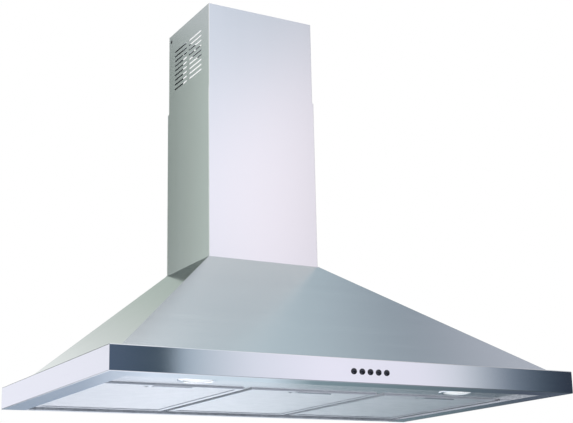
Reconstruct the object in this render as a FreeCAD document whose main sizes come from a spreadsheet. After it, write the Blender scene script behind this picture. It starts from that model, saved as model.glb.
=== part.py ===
"""Wall-hung chimney range hood: a pyramid canopy with a telescopic flue.

Millimetres. X runs to the right, the wall is the plane y = 0, the front is at
-Y, and z = 0 is the canopy's lowest edge.
"""
import FreeCAD, Part

import math
import os
import re

import Sketcher
from FreeCAD import Vector

# ---------------------------------------------------------------- dimensions
SIZES = [
    # overall
    ("width", 900, "canopy width"),
    ("depth", 550, "canopy depth from the wall"),
    ("band", 41, "height of the skirt band"),
    ("canopy_top", 280, "height of the top of the slopes"),
    ("gauge", 1, "thickness of the steel sheet"),
    # folds of the skirt and slopes
    ("ledge", 25, "set-back of the slopes from the band"),
    ("lap", 15, "overlap of slope flange and skirt ledge"),
    ("flange", 44, "width of the in-turned flange under the skirt"),
    ("rear_flange", 15, "depth of the flange under the back panel"),
    ("recess", 7, "height of the underside above the rim"),
    ("fold_height", 13, "height of the folds that stiffen the underside"),
    ("bend", 1.5, "outside radius of a fold that shows"),
    ("keyhole_x", 180, "keyhole's distance from the middle"),
    ("keyhole_z", 150, "height of the keyhole's round end"),
    ("keyhole_radius", 7, "radius of the keyhole's round end"),
    ("keyhole_slot", 3.5, "half the width of the keyhole's slot"),
    ("keyhole_rise", 16, "length of the keyhole's slot"),
    ("lower_hole_x", 250, "lower screw hole's distance from the middle"),
    ("lower_hole_z", 70, "height of the lower screw holes"),
    ("lower_hole", 3.25, "radius of a lower screw hole"),
    # flue
    ("flue_width", 240, "width of the lower flue"),
    ("flue_depth", 200, "depth of the lower flue"),
    ("plate_lip", 2, "top plate standing proud of the flue"),
    ("lower_top", 628, "height of the top of the lower flue"),
    ("upper_top", 805, "height of the top of the upper flue"),
    ("upper_length", 350, "length of the upper flue"),
    ("flue_gap", 0.75, "gap between the two flues"),
    ("flue_return", 34, "width of the flue's rear flanges"),
    # side vents of the upper flue
    ("vent_rows", 9, "rows of vent slots"),
    ("vent_pitch", 10.5, "spacing of the rows"),
    ("vent_top", 760, "height of the highest row"),
    ("vent_height", 3.6, "height of a slot"),
    ("vent_length", 61, "length of a slot"),
    ("vent_front", -132, "middle of the front column"),
    ("vent_rear", -61, "middle of the rear column"),
    ("flue_hole", 4, "radius of the bracket hole in the upper flue"),
    ("flue_hole_back", 13, "bracket hole's distance from the wall"),
    ("flue_hole_drop", 14, "bracket hole's distance below the flue's top"),
    # wall bracket of the upper flue, and locators of the lower one
    ("bracket_gauge", 1.5, "thickness of the bracket"),
    ("bracket_foot", 773, "height of the bracket's lower edge"),
    ("bracket_height", 28, "height of the bracket's strip"),
    ("bracket_ear", 22, "reach of the bracket's ears from the wall"),
    ("joggle_half", 84, "half the width of the bracket's part on the wall"),
    ("joggle_depth", 4, "step of the bracket away from the wall"),
    ("bracket_hole", 3, "radius of the bracket's wall holes"),
    ("bracket_hole_x", 58, "wall hole's distance from the middle"),
    ("bracket_hole_z", 789, "height of the wall holes"),
    ("locator_back", 50, "locator's rear end, from the wall"),
    ("locator_length", 100, "length of a locator"),
    ("locator_foot", 20, "width of a locator's foot"),
    ("locator_height", 12, "height of a locator"),
    ("locator_gauge", 1.5, "thickness of a locator"),
    # filters, their latches and keepers
    ("filter_pitch", 272, "spacing of the filters"),
    ("filter_half", 128, "half the width of a filter"),
    ("filter_front", 385, "filter's front edge, from the wall"),
    ("filter_back", 27, "filter's rear edge, from the wall"),
    ("filter_bottom", 4, "height of the filter's lower face"),
    ("filter_thick", 9, "thickness of the filter"),
    ("filter_border", 10, "width of the filter frame's border"),
    ("filter_gap", 2, "gap round a filter"),
    ("ledge_front", 23, "rear ledge's front edge, from the wall"),
    ("shelf_depth", 10, "depth of the rear ledge"),
    ("shelf_rise", 21, "height of the rear ledge's fold"),
    ("well_half", 41, "half the width of the latch well"),
    ("well_depth", 25, "depth of the latch well"),
    ("well_wall", 3, "wall behind the latch"),
    ("window_front", 4, "well's window behind the filter's front edge"),
    ("window_back", 18, "window's rear edge behind the filter's front edge"),
    ("window_play", 1, "window wider than the pull bar, each side"),
    ("lug_inner", 78, "rear lug's inner edge"),
    ("lug_outer", 102, "rear lug's outer edge"),
    ("lug_low", 4.3, "height of a lug in the frame"),
    ("lug_gauge", 1.5, "thickness of a lug"),
    ("lug_reach", 9.5, "reach of a lug behind the frame"),
    ("pleats", 16, "pleats on the lower side of the mesh"),
    ("pleat_pitch", 15.4, "spacing of the pleats"),
    ("pleat_web", 1.6, "flat between two pleats"),
    ("pleat_skin", 0.6, "mesh left under a pleat"),
    ("pleat_margin", 1.5, "first pleat from the mesh's edge"),
    ("latch_half", 36.5, "half the width of the latch"),
    ("latch_low", 3.8, "height of the latch in the frame"),
    ("latch_gauge", 3.4, "thickness of the latch"),
    ("latch_depth", 13, "depth of the latch"),
    ("latch_play", 0.2, "clearance round the latch"),
    ("bar_half", 34, "half the width of the pull bar"),
    ("bar_front", 6, "pull bar behind the filter's front edge"),
    ("bar_gauge", 3, "thickness of the pull bar"),
    ("bar_drop", 1.5, "drop of the pull bar below the frame"),
    ("bar_bevel", 0.8, "bevel of the pull bar"),
    ("tongue_half", 18, "half the width of the tongue"),
    ("tongue_low", 5.5, "height of the tongue in the frame"),
    ("tongue_reach", 8, "reach of the tongue in front of the frame"),
    ("tongue_ramp", 3, "length of the tongue's ramp"),
    ("keeper_play", 0.6, "keeper lower than the tongue"),
    ("keeper_height", 3.4, "height of a keeper slot"),
    ("keeper_half", 20.5, "half the width of a keeper slot"),
    # lamps
    ("lamp_x", 260, "lamp's distance from the middle"),
    ("lamp_y", 450, "lamp's distance from the wall"),
    ("lamp_hole", 30, "radius of the lamp's hole"),
    ("lamp_ring", 34, "radius of the lamp's ring"),
    ("lens_radius", 25, "radius of the lens"),
    ("ring_drop", 2.2, "lamp ring's drop below the strip"),
    ("ring_wall", 1.2, "thickness of the lamp ring's sleeve"),
    ("ring_height", 12, "height of the lamp ring's sleeve"),
    ("seat_height", 1.8, "height of the lens seat"),
    ("lens_drop", 3.4, "drop of the lens below the strip"),
    ("lens_crown", 90, "radius of the lens's crown"),
    ("housing_height", 44, "height of the lamp housing"),
    ("housing_wall", 2, "thickness of the lamp housing"),
    ("housing_cap", 12, "radius of the housing's cap"),
    ("bulb_low", 10, "height of the bulb's tip"),
    ("bulb_radius", 5.5, "radius of the bulb"),
    ("bulb_pinch", 3.5, "radius of the bulb's foot"),
    # buttons and their switch bank
    ("button_middle", 8, "middle button's distance from the centre line"),
    ("button_pitch", 16.2, "spacing of the buttons"),
    ("button_z", 19, "height of the buttons"),
    ("button_radius", 5, "radius of a button"),
    ("button_gap", 0.3, "clearance round a button"),
    ("button_tip", 3.6, "button's tip in front of the band"),
    ("button_rim", 1.4, "button's rim in front of the band"),
    ("button_bevel", 0.8, "bevel of the button's rim"),
    ("button_crown", 10, "radius of the button's crown"),
    ("button_skirt", 3.5, "button's collar behind the band"),
    ("stem_radius", 3, "radius of a button's stem"),
    ("stem_length", 16, "length of a button's stem behind the band"),
    ("switch_depth", 24, "depth of the switch bank"),
    ("switch_half", 10, "half the height of the switch bank"),
    ("switch_end", 11, "bank's end beyond the last button"),
    ("ear_end", 24, "ear's end beyond the last button"),
    ("ear_half", 7, "half the height of an ear"),
    ("ear_gauge", 3, "thickness of an ear"),
    ("bore_play", 0.4, "clearance round a button in the bank"),
    ("bore_step", 6, "depth of the bank's wide bores"),
    ("bore_depth", 19, "depth of the bank's bores"),
    ("stem_play", 0.3, "clearance round a stem"),
    ("tag_gauge", 0.8, "thickness of a terminal tag"),
    ("tag_half", 3, "half the height of a switch tag"),
    ("tag_length", 7, "length of a switch tag"),
    ("stud_end", 17, "stud's distance from the last button"),
    ("stud_radius", 2, "radius of a weld stud"),
    ("stud_length", 11, "length of a weld stud"),
    ("stud_play", 0.2, "clearance round a stud"),
    ("nut_half", 3.5, "half the width of a nut across its flats"),
    ("nut_height", 3.2, "height of a nut"),
    # blower
    ("axis_y", -144, "blower axis, from the wall"),
    ("axis_z", 150, "height of the blower axis"),
    ("wheel_radius", 70, "radius of the wheel"),
    ("wheel_inner", 58, "inner radius of the blades"),
    ("blade_heel", 2, "blade's inner edge beside the radius"),
    ("blade_sweep", 8, "blade's tip beside the radius"),
    ("blade_curve", 14, "radius of a blade's hollow side"),
    ("blade_gauge", 1, "thickness of a blade at its tip"),
    ("blade_inset", 1, "blade's tip inside the wheel's radius"),
    ("wheel_half", 55, "half the width of the wheel"),
    ("wheel_rim", 5, "width of the wheel's end rings"),
    ("wheel_ring", 3, "thickness of the wheel's end rings"),
    ("wheel_disc", 1.5, "thickness of the wheel's middle disc"),
    ("hub_radius", 11, "radius of the wheel's hub"),
    ("hub_left", 4, "hub's reach to the left of the middle"),
    ("hub_right", 16, "hub's reach to the right of the middle"),
    ("blades", 36, "blades in each row of the wheel"),
    ("scroll_start", 78, "first radius of the scroll"),
    ("scroll_step", 8, "growth of the scroll in a quarter turn"),
    ("scroll_half", 65, "half the inside width of the scroll"),
    ("scroll_top", 245, "height of the scroll's outlet"),
    ("scroll_lip", 5, "cut-off's distance behind the axis"),
    ("inlet_radius", 60, "radius of the blower's inlets"),
    ("bell_gauge", 1.5, "thickness of an inlet ring"),
    ("bell_reach", 9, "reach of an inlet ring from the cheek"),
    ("bell_flare", 8, "widening of an inlet ring"),
    ("bell_knee", 6.6, "reach of an inlet ring's knee from the cheek"),
    ("bell_ease", 2.7, "widening of an inlet ring at its knee"),
    ("bell_flange", 9, "width of an inlet ring's flange"),
    ("bell_throat", 4, "thickness of an inlet ring at its root"),
    ("shaft_radius", 4, "radius of the motor shaft"),
    ("shaft_left", -62, "shaft's left end"),
    ("shaft_length", 80, "length of the shaft"),
    ("shaft_play", 0.06, "clearance round the shaft"),
    ("motor_radius", 40, "radius of the motor"),
    ("motor_left", -59, "motor's left end"),
    ("motor_right", -7, "motor's right end"),
    ("boss_radius", 14, "radius of the motor's right boss"),
    ("boss_length", 5, "length of the motor's right boss"),
    ("bell_end", 9, "end bell's shoulder from the motor's end"),
    ("shoulder", 6, "drop and run of the motor's bevelled shoulder"),
    ("left_bevel", 8, "drop of the motor's left end"),
    ("motor_slots", 8, "cooling slots round the motor"),
    ("motor_slot_left", -46, "left end of a cooling slot"),
    ("motor_slot_length", 20, "length of a cooling slot"),
    ("motor_slot_half", 3, "half the width of a cooling slot"),
    ("motor_slot_depth", 6, "depth of a cooling slot"),
    ("mount_arms", 3, "arms of the motor bracket"),
    ("mount_gauge", 2, "thickness of the motor bracket"),
    ("mount_radius", 31, "radius of the bracket's ring"),
    ("mount_hole", 12, "radius of the bracket's hole"),
    ("arm_half", 6, "half the width of an arm"),
    ("arm_root", 26, "arm's start from the axis"),
    ("arm_lap", 14, "arm's lap over the cheek"),
    ("foot_gap", 2, "foot's distance from the inlet"),
    # duct collar and damper
    ("collar_y", -90, "duct collar's axis, from the wall"),
    ("collar_radius", 75, "outside radius of the duct collar"),
    ("collar_wall", 1.2, "thickness of the duct collar"),
    ("collar_foot", 1.5, "thickness of the collar's foot"),
    ("plate_step", 3, "plate's hole inside the collar's radius"),
    ("duct_step", 6, "duct's mouth inside the collar's radius"),
    ("duct_rim", 2, "thickness of the duct's rim"),
    ("duct_rim_step", 5.5, "rim's hole inside the collar's radius"),
    ("stop_width", 3.3, "width of the damper's stop ring"),
    ("stop_top", 1.6, "stop ring's top below the rod's axis"),
    ("stop_edge", 3, "stop ring's edge below the rod's axis"),
    ("stop_foot", 5, "stop ring's foot below the rod's axis"),
    ("collar_height", 50, "height of the duct collar"),
    ("collar_rim", 12, "width of the rims that the blower screws go through"),
    ("collar_bolts", 83, "radius of the circle of the blower screws"),
    ("screw_radius", 1.5, "radius of a blower screw"),
    ("screw_play", 0.2, "clearance round a blower screw"),
    ("screw_reach", 6, "screw's reach below the top plate"),
    ("screw_head", 2.8, "radius of a screw's head"),
    ("screw_head_height", 2.2, "height of a screw's head"),
    ("damper_z", 297, "height of the damper rod"),
    ("rod_radius", 1.5, "radius of the damper rod"),
    ("flap_radius", 71.5, "radius of a damper flap"),
    ("flap_gauge", 1, "thickness of a flap"),
    ("flap_edge", 3.6, "flap's straight edge from the rod's axis"),
    ("knuckle_radius", 3, "outside radius of a knuckle"),
    ("knuckle_root", 2, "knuckle tab's start from the rod's axis"),
    ("knuckle_play", 0.06, "clearance round the rod"),
    ("knuckle_length", 18, "length of a knuckle"),
    ("knuckle_outer", 42, "outer knuckle's distance from the middle"),
    ("knuckle_inner", 5, "inner knuckle's distance from the middle"),
    # electrics
    ("box_left", 120, "junction box's left side"),
    ("box_right", 190, "junction box's right side"),
    ("box_low", 70, "height of the junction box's bottom"),
    ("box_high", 130, "height of the junction box's top"),
    ("box_depth", 38, "depth of the junction box"),
    ("box_wall", 2, "thickness of the junction box"),
    ("cover_lip", 3, "depth of the cover's lip"),
    ("entry_x", 155, "middle cable entry"),
    ("entry_pitch", 20, "spacing of the cable entries"),
    ("entry_y", -22, "cable entries from the wall"),
    ("entry_radius", 5, "radius of a cable entry"),
    ("can_x", -150, "capacitor's axis"),
    ("can_back", 18, "capacitor's axis from the back panel"),
    ("can_z", 75, "height of the capacitor's foot"),
    ("can_radius", 15, "radius of the capacitor"),
    ("can_height", 53, "height of the capacitor"),
    ("can_bevel", 1.5, "bevel of the capacitor's foot"),
    ("can_crimp", 1, "bevel of the capacitor's rim"),
    ("can_top", 11, "radius of the capacitor's sunk top"),
    ("can_sink", 2, "depth of the capacitor's sunk top"),
    ("can_tag", 5, "capacitor tag from the axis"),
    ("can_tag_length", 9, "length of a capacitor tag"),
    ("clip_low", 20, "clip's height on the capacitor"),
    ("clip_height", 12, "height of the clip"),
    ("clip_gauge", 1, "thickness of the clip's band"),
    ("clip_foot", 1.5, "thickness of the clip's foot"),
    ("clip_neck", 4, "half the width of the clip's neck"),
    ("grommet_x", -95, "grommet's axis"),
    ("grommet_y", -25, "grommet's axis, from the wall"),
    ("grommet_hole", 6, "radius of the grommet's hole in the plate"),
    ("grommet_bore", 4, "radius of the grommet's bore"),
    ("grommet_rim", 9, "radius of the grommet"),
    ("grommet_lip", 2.5, "thickness of the grommet's lips"),
]

document = FreeCAD.newDocument("range_hood")
dims = document.addObject("Spreadsheet::Sheet", "Dims")
for row, (alias, size, note) in enumerate(SIZES, 1):
    dims.set(f"A{row}", note)
    dims.set(f"B{row}", str(size))
    dims.setAlias(f"B{row}", alias)
document.recompute()
ALIASES = {alias for alias, size, note in SIZES}

# formulas that several pieces share
BASE_X = "(width/2-ledge)"
BASE_Y = "(depth-ledge)"
TOP_X = "(flue_width/2+plate_lip)"
TOP_Y = "(flue_depth+plate_lip)"
RISE = "(canopy_top-band)"
INNER_X = "(width/2-flange)"
INNER_Y = "(depth-flange)"
OPENING_FRONT = "(filter_front+filter_gap)"


# ------------------------------------------------------------------- helpers
def bound(formula):
    """The formula with each alias read from the sheet."""
    named = lambda word: f"Dims.{word[0]}" if word[0] in ALIASES else word[0]
    return re.sub(r"[a-z_]+", named, formula)


def value(formula):
    return float(dims.evalExpression(formula))


def new_body(name):
    made = document.addObject("PartDesign::Body", name)
    made.Label = name
    return made


def origin(body, role):
    return next(part for part in body.Origin.OriginFeatures if part.Role == role)


def new_sketch(body, name, plane, offset="0"):
    """An empty sketch on one of the body's own planes, moved along its normal."""
    made = body.newObject("Sketcher::SketchObject", f"{body.Name}_{name}")
    made.AttachmentSupport = [(origin(body, plane), "")]
    made.MapMode = "FlatFace"
    made.setExpression("AttachmentOffset.Base.z", bound(offset))
    return made


def bind(sketch, rules):
    """Add constraints, each with the formula that drives it."""
    places = sketch.addConstraint([rule for rule, formula in rules])
    for place, (rule, formula) in zip(places, rules):
        if formula is not None:
            sketch.setExpression(f"Constraints[{place}]", bound(formula))


def arc_between(start, end, radius, turn):
    """The short arc from start to end, turning left or right."""
    chord = end - start
    side = Vector(-chord.y, chord.x, 0).normalize()
    if turn == "right":
        side = -side
    height = math.sqrt(max(radius**2 - (chord.Length / 2) ** 2, 0))
    centre = (start + end) / 2 + side * height
    first, last = (start, end) if turn == "left" else (end, start)
    angles = [math.atan2(p.y - centre.y, p.x - centre.x) for p in (first, last)]
    if angles[1] < angles[0]:
        angles[1] += 2 * math.pi
    return Part.ArcOfCircle(Part.Circle(centre, Vector(0, 0, 1), radius), *angles)


def outline(sketch, corners):
    """A closed outline. A corner of (x, y, radius, turn) is followed by an arc."""
    points = [Vector(value(corner[0]), value(corner[1]), 0) for corner in corners]
    ends = []
    rules = []
    for index, corner in enumerate(corners):
        start, end = points[index], points[(index + 1) % len(points)]
        if len(corner) == 2:
            edge = sketch.addGeometry(Part.LineSegment(start, end))
            ends.append((edge, 1, 2))
            continue
        radius = value(corner[2])
        edge = sketch.addGeometry(arc_between(start, end, radius, corner[3]))
        ends.append((edge, 1, 2) if corner[3] == "left" else (edge, 2, 1))
        rules.append((Sketcher.Constraint("Radius", edge, radius), corner[2]))
    for index, (edge, first, last) in enumerate(ends):
        following, start = ends[(index + 1) % len(ends)][:2]
        x, y = corners[index][:2]
        place = points[index]
        rules.append((Sketcher.Constraint("Coincident", edge, last, following, start), None))
        rules.append((Sketcher.Constraint("DistanceX", edge, first, place.x), x))
        rules.append((Sketcher.Constraint("DistanceY", edge, first, place.y), y))
    bind(sketch, rules)


def rectangle(sketch, x0, x1, y0, y1):
    outline(sketch, [(x0, y0), (x1, y0), (x1, y1), (x0, y1)])


def circle(sketch, x, y, radius):
    size = value(radius)
    place = Vector(value(x), value(y), 0)
    edge = sketch.addGeometry(Part.Circle(place, Vector(0, 0, 1), size))
    bind(sketch, [
        (Sketcher.Constraint("Radius", edge, size), radius),
        (Sketcher.Constraint("DistanceX", edge, 3, place.x), x),
        (Sketcher.Constraint("DistanceY", edge, 3, place.y), y),
    ])


def pad(body, sketch, length, side="One side", back=False):
    made = body.newObject("PartDesign::Pad", f"{sketch.Name}_pad")
    made.Profile = sketch
    made.setExpression("Length", bound(length))
    made.SideType = side
    made.Reversed = back
    return made


def pocket(body, sketch, depth="width*3", side="Symmetric", forward=False):
    """Cut the sketch out of the body; the cut must take something away."""
    document.recompute()
    before = body.Shape.Volume
    made = body.newObject("PartDesign::Pocket", f"{sketch.Name}_cut")
    made.Profile = sketch
    made.setExpression("Length", bound(depth))
    made.SideType = side
    made.Reversed = forward
    document.recompute()
    if not body.Shape.Volume < before - 1e-3:
        raise RuntimeError(f"{made.Name} cuts nothing")
    return made


def revolve(body, sketch, axis):
    made = body.newObject("PartDesign::Revolution", f"{sketch.Name}_turn")
    made.Profile = sketch
    made.ReferenceAxis = (sketch, [axis])
    made.Angle = 360
    return made


def repeat(body, feature, kind, direction, count, extent=None):
    """A linear or polar pattern, which becomes the body's tip."""
    made = body.newObject(f"PartDesign::{kind}", f"{feature.Name}_set")
    made.Originals = [feature]
    if kind == "LinearPattern":
        made.Direction = (origin(body, direction), [""])
        made.setExpression("Length", bound(extent))
    else:
        made.Axis = (origin(body, direction), [""])
        made.Angle = 360
    made.setExpression("Occurrences", bound(count))
    body.Tip = made
    return made


def round_edges(body, radius, way, spots):
    """Round the straight edges along one axis whose other two places are given."""
    document.recompute()
    names = []
    for index, edge in enumerate(body.Tip.Shape.Edges, 1):
        if edge.Curve.TypeId != "Part::GeomLine" or abs(getattr(edge.Curve.Direction, way)) < 0.5:
            continue
        point = edge.Vertexes[0].Point
        for spot in spots:
            if all(abs(getattr(point, axis) - place) < 0.01 for axis, place in spot.items()):
                names.append(f"Edge{index}")
    if len(names) != len(spots):
        raise RuntimeError(f"{body.Name} has {len(names)} edges to round")
    base = body.Tip
    made = body.newObject("PartDesign::Fillet", f"{base.Name}_bend")
    made.Base = (base, names)
    made.setExpression("Radius", bound(radius))
    return made


def move(body, x="0", y="0", z="0"):
    for axis, formula in (("x", x), ("y", y), ("z", z)):
        body.setExpression(f"Placement.Base.{axis}", bound(formula))


def group(name, members):
    """Identical pieces kept together as separate solids."""
    made = document.addObject("Part::Compound", name)
    made.Label = name
    made.Links = members
    return made


# ------------------------------------------------------ skirt and back panel
def front_fascia():
    """The front band: ledge, face, under flange and lip folded from one strip."""
    body = new_body("front_fascia")
    section = new_sketch(body, "section", "YZ_Plane")
    outline(section, [
        ("-depth+ledge+lap", "band"),
        ("-depth", "band"),
        ("-depth", "0"),
        (f"-{INNER_Y}", "0"),
        (f"-{INNER_Y}", "recess"),
        (f"-{INNER_Y}-gauge", "recess"),
        (f"-{INNER_Y}-gauge", "gauge"),
        ("-depth+gauge", "gauge"),
        ("-depth+gauge", "band-gauge"),
        ("-depth+ledge+lap", "band-gauge"),
    ])
    pad(body, section, "width", "Symmetric")
    front, top = -value("depth"), value("band")
    round_edges(body, "bend", "x", [{"y": front, "z": 0}, {"y": front, "z": top}])
    for hand in "+-":
        mitre = new_sketch(body, "mitre_right" if hand == "+" else "mitre_left", "XY_Plane")
        outline(mitre, [
            (f"{hand}(width/2+1)", "-depth-1"),
            (f"{hand}(width/2+1)", "-depth+flange*2"),
            (f"{hand}(width/2-flange*2)", "-depth+flange*2"),
        ])
        pocket(body, mitre)
    holes = new_sketch(body, "button_holes", "XZ_Plane")
    for place in range(-2, 3):
        circle(holes, f"button_middle+button_pitch*{place}", "button_z",
               "button_radius+button_gap")
    pocket(body, holes)
    studs = new_sketch(body, "studs", "XZ_Plane", "depth-gauge")
    for hand in "+-":
        circle(studs, f"button_middle{hand}(button_pitch*2+stud_end)", "button_z", "stud_radius")
    pad(body, studs, "stud_length", back=True)
    return body


def side_skirt(name, hand):
    """A side of the band, folded like the front and mitred to it."""
    body = new_body(name)
    section = new_sketch(body, "section", "XZ_Plane", "gauge")
    outline(section, [
        (f"{hand}(width/2-ledge-lap)", "band"),
        (f"{hand}width/2", "band"),
        (f"{hand}width/2", "0"),
        (f"{hand}{INNER_X}", "0"),
        (f"{hand}{INNER_X}", "recess"),
        (f"{hand}({INNER_X}+gauge)", "recess"),
        (f"{hand}({INNER_X}+gauge)", "gauge"),
        (f"{hand}(width/2-gauge)", "gauge"),
        (f"{hand}(width/2-gauge)", "band-gauge"),
        (f"{hand}(width/2-ledge-lap)", "band-gauge"),
    ])
    pad(body, section, "depth-gauge")
    side, top = value(f"{hand}width/2"), value("band")
    round_edges(body, "bend", "y", [{"x": side, "z": 0}, {"x": side, "z": top}])
    mitre = new_sketch(body, "mitre", "XY_Plane")
    outline(mitre, [
        (f"{hand}(width/2+1)", "-depth-1"),
        (f"{hand}(width/2-flange*2)", "-depth-1"),
        (f"{hand}(width/2-flange*2)", "-depth+flange*2"),
    ])
    pocket(body, mitre)
    return body


def back_panel():
    """The flat back against the wall, with its hanging holes and bottom flange."""
    body = new_body("back_panel")
    sheet = new_sketch(body, "sheet", "XZ_Plane")
    outline(sheet, [
        ("-width/2", "0"), ("width/2", "0"), ("width/2", "band"),
        (BASE_X, "band"), (TOP_X, "canopy_top"),
        (f"-{TOP_X}", "canopy_top"), (f"-{BASE_X}", "band"), ("-width/2", "band"),
    ])
    pad(body, sheet, "gauge")
    fold = new_sketch(body, "fold", "YZ_Plane")
    outline(fold, [
        ("-gauge", "0"), ("-rear_flange", "0"), ("-rear_flange", "recess"),
        ("-rear_flange+gauge", "recess"), ("-rear_flange+gauge", "gauge"), ("-gauge", "gauge"),
    ])
    pad(body, fold, f"{INNER_X}*2", "Symmetric")
    holes = new_sketch(body, "holes", "XZ_Plane")
    slots = new_sketch(body, "keyhole_slots", "XZ_Plane")
    for hand in "+-":
        circle(holes, f"{hand}keyhole_x", "keyhole_z", "keyhole_radius")
        circle(holes, f"{hand}lower_hole_x", "lower_hole_z", "lower_hole")
        left, right = f"{hand}keyhole_x-keyhole_slot", f"{hand}keyhole_x+keyhole_slot"
        top = "keyhole_z+keyhole_rise"
        outline(slots, [
            (left, "keyhole_z"), (right, "keyhole_z"), (right, top, "keyhole_slot*1.03", "left"),
            (left, top),
        ])
    pocket(body, holes)
    pocket(body, slots)
    return body


# ------------------------------------------------------------ canopy slopes
def folded_slope(body, plane, hand, base, top, offset="0"):
    """Section of a slope with its bottom and top flanges, turned inwards."""
    run = f"({base}-{top})"
    thick = f"(gauge*sqrt({run}^2+{RISE}^2)/{RISE})"
    inner = lambda rise: f"{hand}({base}-{thick}-{run}*({rise})/{RISE})"
    section = new_sketch(body, "section", plane, offset)
    outline(section, [
        (f"{hand}({base}-lap)", "band"),
        (f"{hand}{base}", "band"),
        (f"{hand}{top}", "canopy_top"),
        (f"{hand}({top}-lap+1)", "canopy_top"),
        (f"{hand}({top}-lap+1)", "canopy_top-gauge"),
        (inner(f"{RISE}-gauge"), "canopy_top-gauge"),
        (inner("gauge"), "band+gauge"),
        (f"{hand}({base}-lap)", "band+gauge"),
    ])
    return section


def hip_points(hand):
    """Two points of the hip in plan, past the foot and the head of the slope."""
    below = (f"{hand}({BASE_X}+0.1*({BASE_X}-{TOP_X}))", f"-({BASE_Y}+0.1*({BASE_Y}-{TOP_Y}))")
    above = (f"{hand}({TOP_X}-0.3*({BASE_X}-{TOP_X}))", f"-({TOP_Y}-0.3*({BASE_Y}-{TOP_Y}))")
    return below, above


def canopy_front():
    body = new_body("canopy_front")
    section = folded_slope(body, "YZ_Plane", "-", BASE_Y, TOP_Y)
    pad(body, section, "width", "Symmetric")
    for hand in "+-":
        below, above = hip_points(hand)
        mitre = new_sketch(body, "hip_right" if hand == "+" else "hip_left", "XY_Plane")
        outline(mitre, [below, above, (f"{hand}width*0.6", above[1]), (f"{hand}width*0.6", below[1])])
        pocket(body, mitre)
    return body


def canopy_side(name, hand):
    body = new_body(name)
    section = folded_slope(body, "XZ_Plane", hand, BASE_X, TOP_X, "gauge")
    pad(body, section, "depth")
    below, above = hip_points(hand)
    mitre = new_sketch(body, "hip", "XY_Plane")
    outline(mitre, [below, above, (above[0], f"{below[1]}-width"), (below[0], f"{below[1]}-width")])
    pocket(body, mitre)
    return body


def top_plate():
    """The plate that closes the slopes and carries flue, duct collar and blower."""
    body = new_body("top_plate")
    sheet = new_sketch(body, "sheet", "XY_Plane", "canopy_top")
    rectangle(sheet, f"-{TOP_X}", TOP_X, f"-{TOP_Y}", "0")
    circle(sheet, "0", "collar_y", "collar_radius-plate_step")
    circle(sheet, "grommet_x", "grommet_y", "grommet_hole")
    for x in "+-":
        for y in "+-":
            circle(sheet, f"{x}collar_bolts*sqrt(0.5)", f"collar_y{y}collar_bolts*sqrt(0.5)",
                   "screw_radius+screw_play")
    pad(body, sheet, "gauge")
    return body


# -------------------------------------------------- underside between flanges
def lamp_strip():
    """The strip in front of the filters; its rear fold has the latch keepers."""
    body = new_body("lamp_strip")
    section = new_sketch(body, "section", "YZ_Plane")
    outline(section, [
        (f"-{INNER_Y}-gauge*2", "recess"), (f"-{OPENING_FRONT}", "recess"),
        (f"-{OPENING_FRONT}", "recess+fold_height"), (f"-{OPENING_FRONT}-gauge", "recess+fold_height"),
        (f"-{OPENING_FRONT}-gauge", "recess+gauge"), (f"-{INNER_Y}-gauge*2", "recess+gauge"),
    ])
    pad(body, section, f"({INNER_X}+gauge*2)*2", "Symmetric")
    lamps = new_sketch(body, "lamp_holes", "XY_Plane")
    for hand in "+-":
        circle(lamps, f"{hand}lamp_x", "-lamp_y", "lamp_hole")
    pocket(body, lamps)
    keepers = new_sketch(body, "keepers", "XZ_Plane")
    for place in (-1, 0, 1):
        low = "filter_bottom+tongue_low-keeper_play"
        rectangle(keepers, f"filter_pitch*{place}-keeper_half", f"filter_pitch*{place}+keeper_half",
                  low, f"{low}+keeper_height")
    pocket(body, keepers)
    return body


def rear_ledge():
    body = new_body("rear_ledge")
    section = new_sketch(body, "section", "YZ_Plane")
    outline(section, [
        ("-ledge_front", "recess"), ("-ledge_front+shelf_depth", "recess"),
        ("-ledge_front+shelf_depth", "recess+shelf_rise"),
        ("-ledge_front+shelf_depth-gauge", "recess+shelf_rise"),
        ("-ledge_front+shelf_depth-gauge", "recess+gauge"), ("-ledge_front", "recess+gauge"),
    ])
    pad(body, section, f"({INNER_X}+gauge*2)*2", "Symmetric")
    return body


def side_rail(name, hand):
    body = new_body(name)
    section = new_sketch(body, "section", "XZ_Plane", "ledge_front")
    inner = "(filter_pitch+filter_half+filter_gap)"
    outline(section, [
        (f"{hand}{inner}", "recess"), (f"{hand}({INNER_X}+gauge*2)", "recess"),
        (f"{hand}({INNER_X}+gauge*2)", "recess+fold_height"),
        (f"{hand}({INNER_X}+gauge)", "recess+fold_height"),
        (f"{hand}({INNER_X}+gauge)", "recess+gauge"), (f"{hand}{inner}", "recess+gauge"),
    ])
    pad(body, section, f"{OPENING_FRONT}-ledge_front")
    return body


def crossbar(name, hand):
    """The channel between two filters."""
    body = new_body(name)
    section = new_sketch(body, "section", "XZ_Plane", "ledge_front")
    low = "(filter_half+filter_gap)"
    high = "(filter_pitch-filter_half-filter_gap)"
    outline(section, [
        (f"{hand}{low}", "recess"), (f"{hand}{high}", "recess"),
        (f"{hand}{high}", "recess+fold_height"), (f"{hand}({high}-gauge)", "recess+fold_height"),
        (f"{hand}({high}-gauge)", "recess+gauge"), (f"{hand}({low}+gauge)", "recess+gauge"),
        (f"{hand}({low}+gauge)", "recess+fold_height"), (f"{hand}{low}", "recess+fold_height"),
    ])
    pad(body, section, f"{OPENING_FRONT}-ledge_front")
    return body


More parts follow.
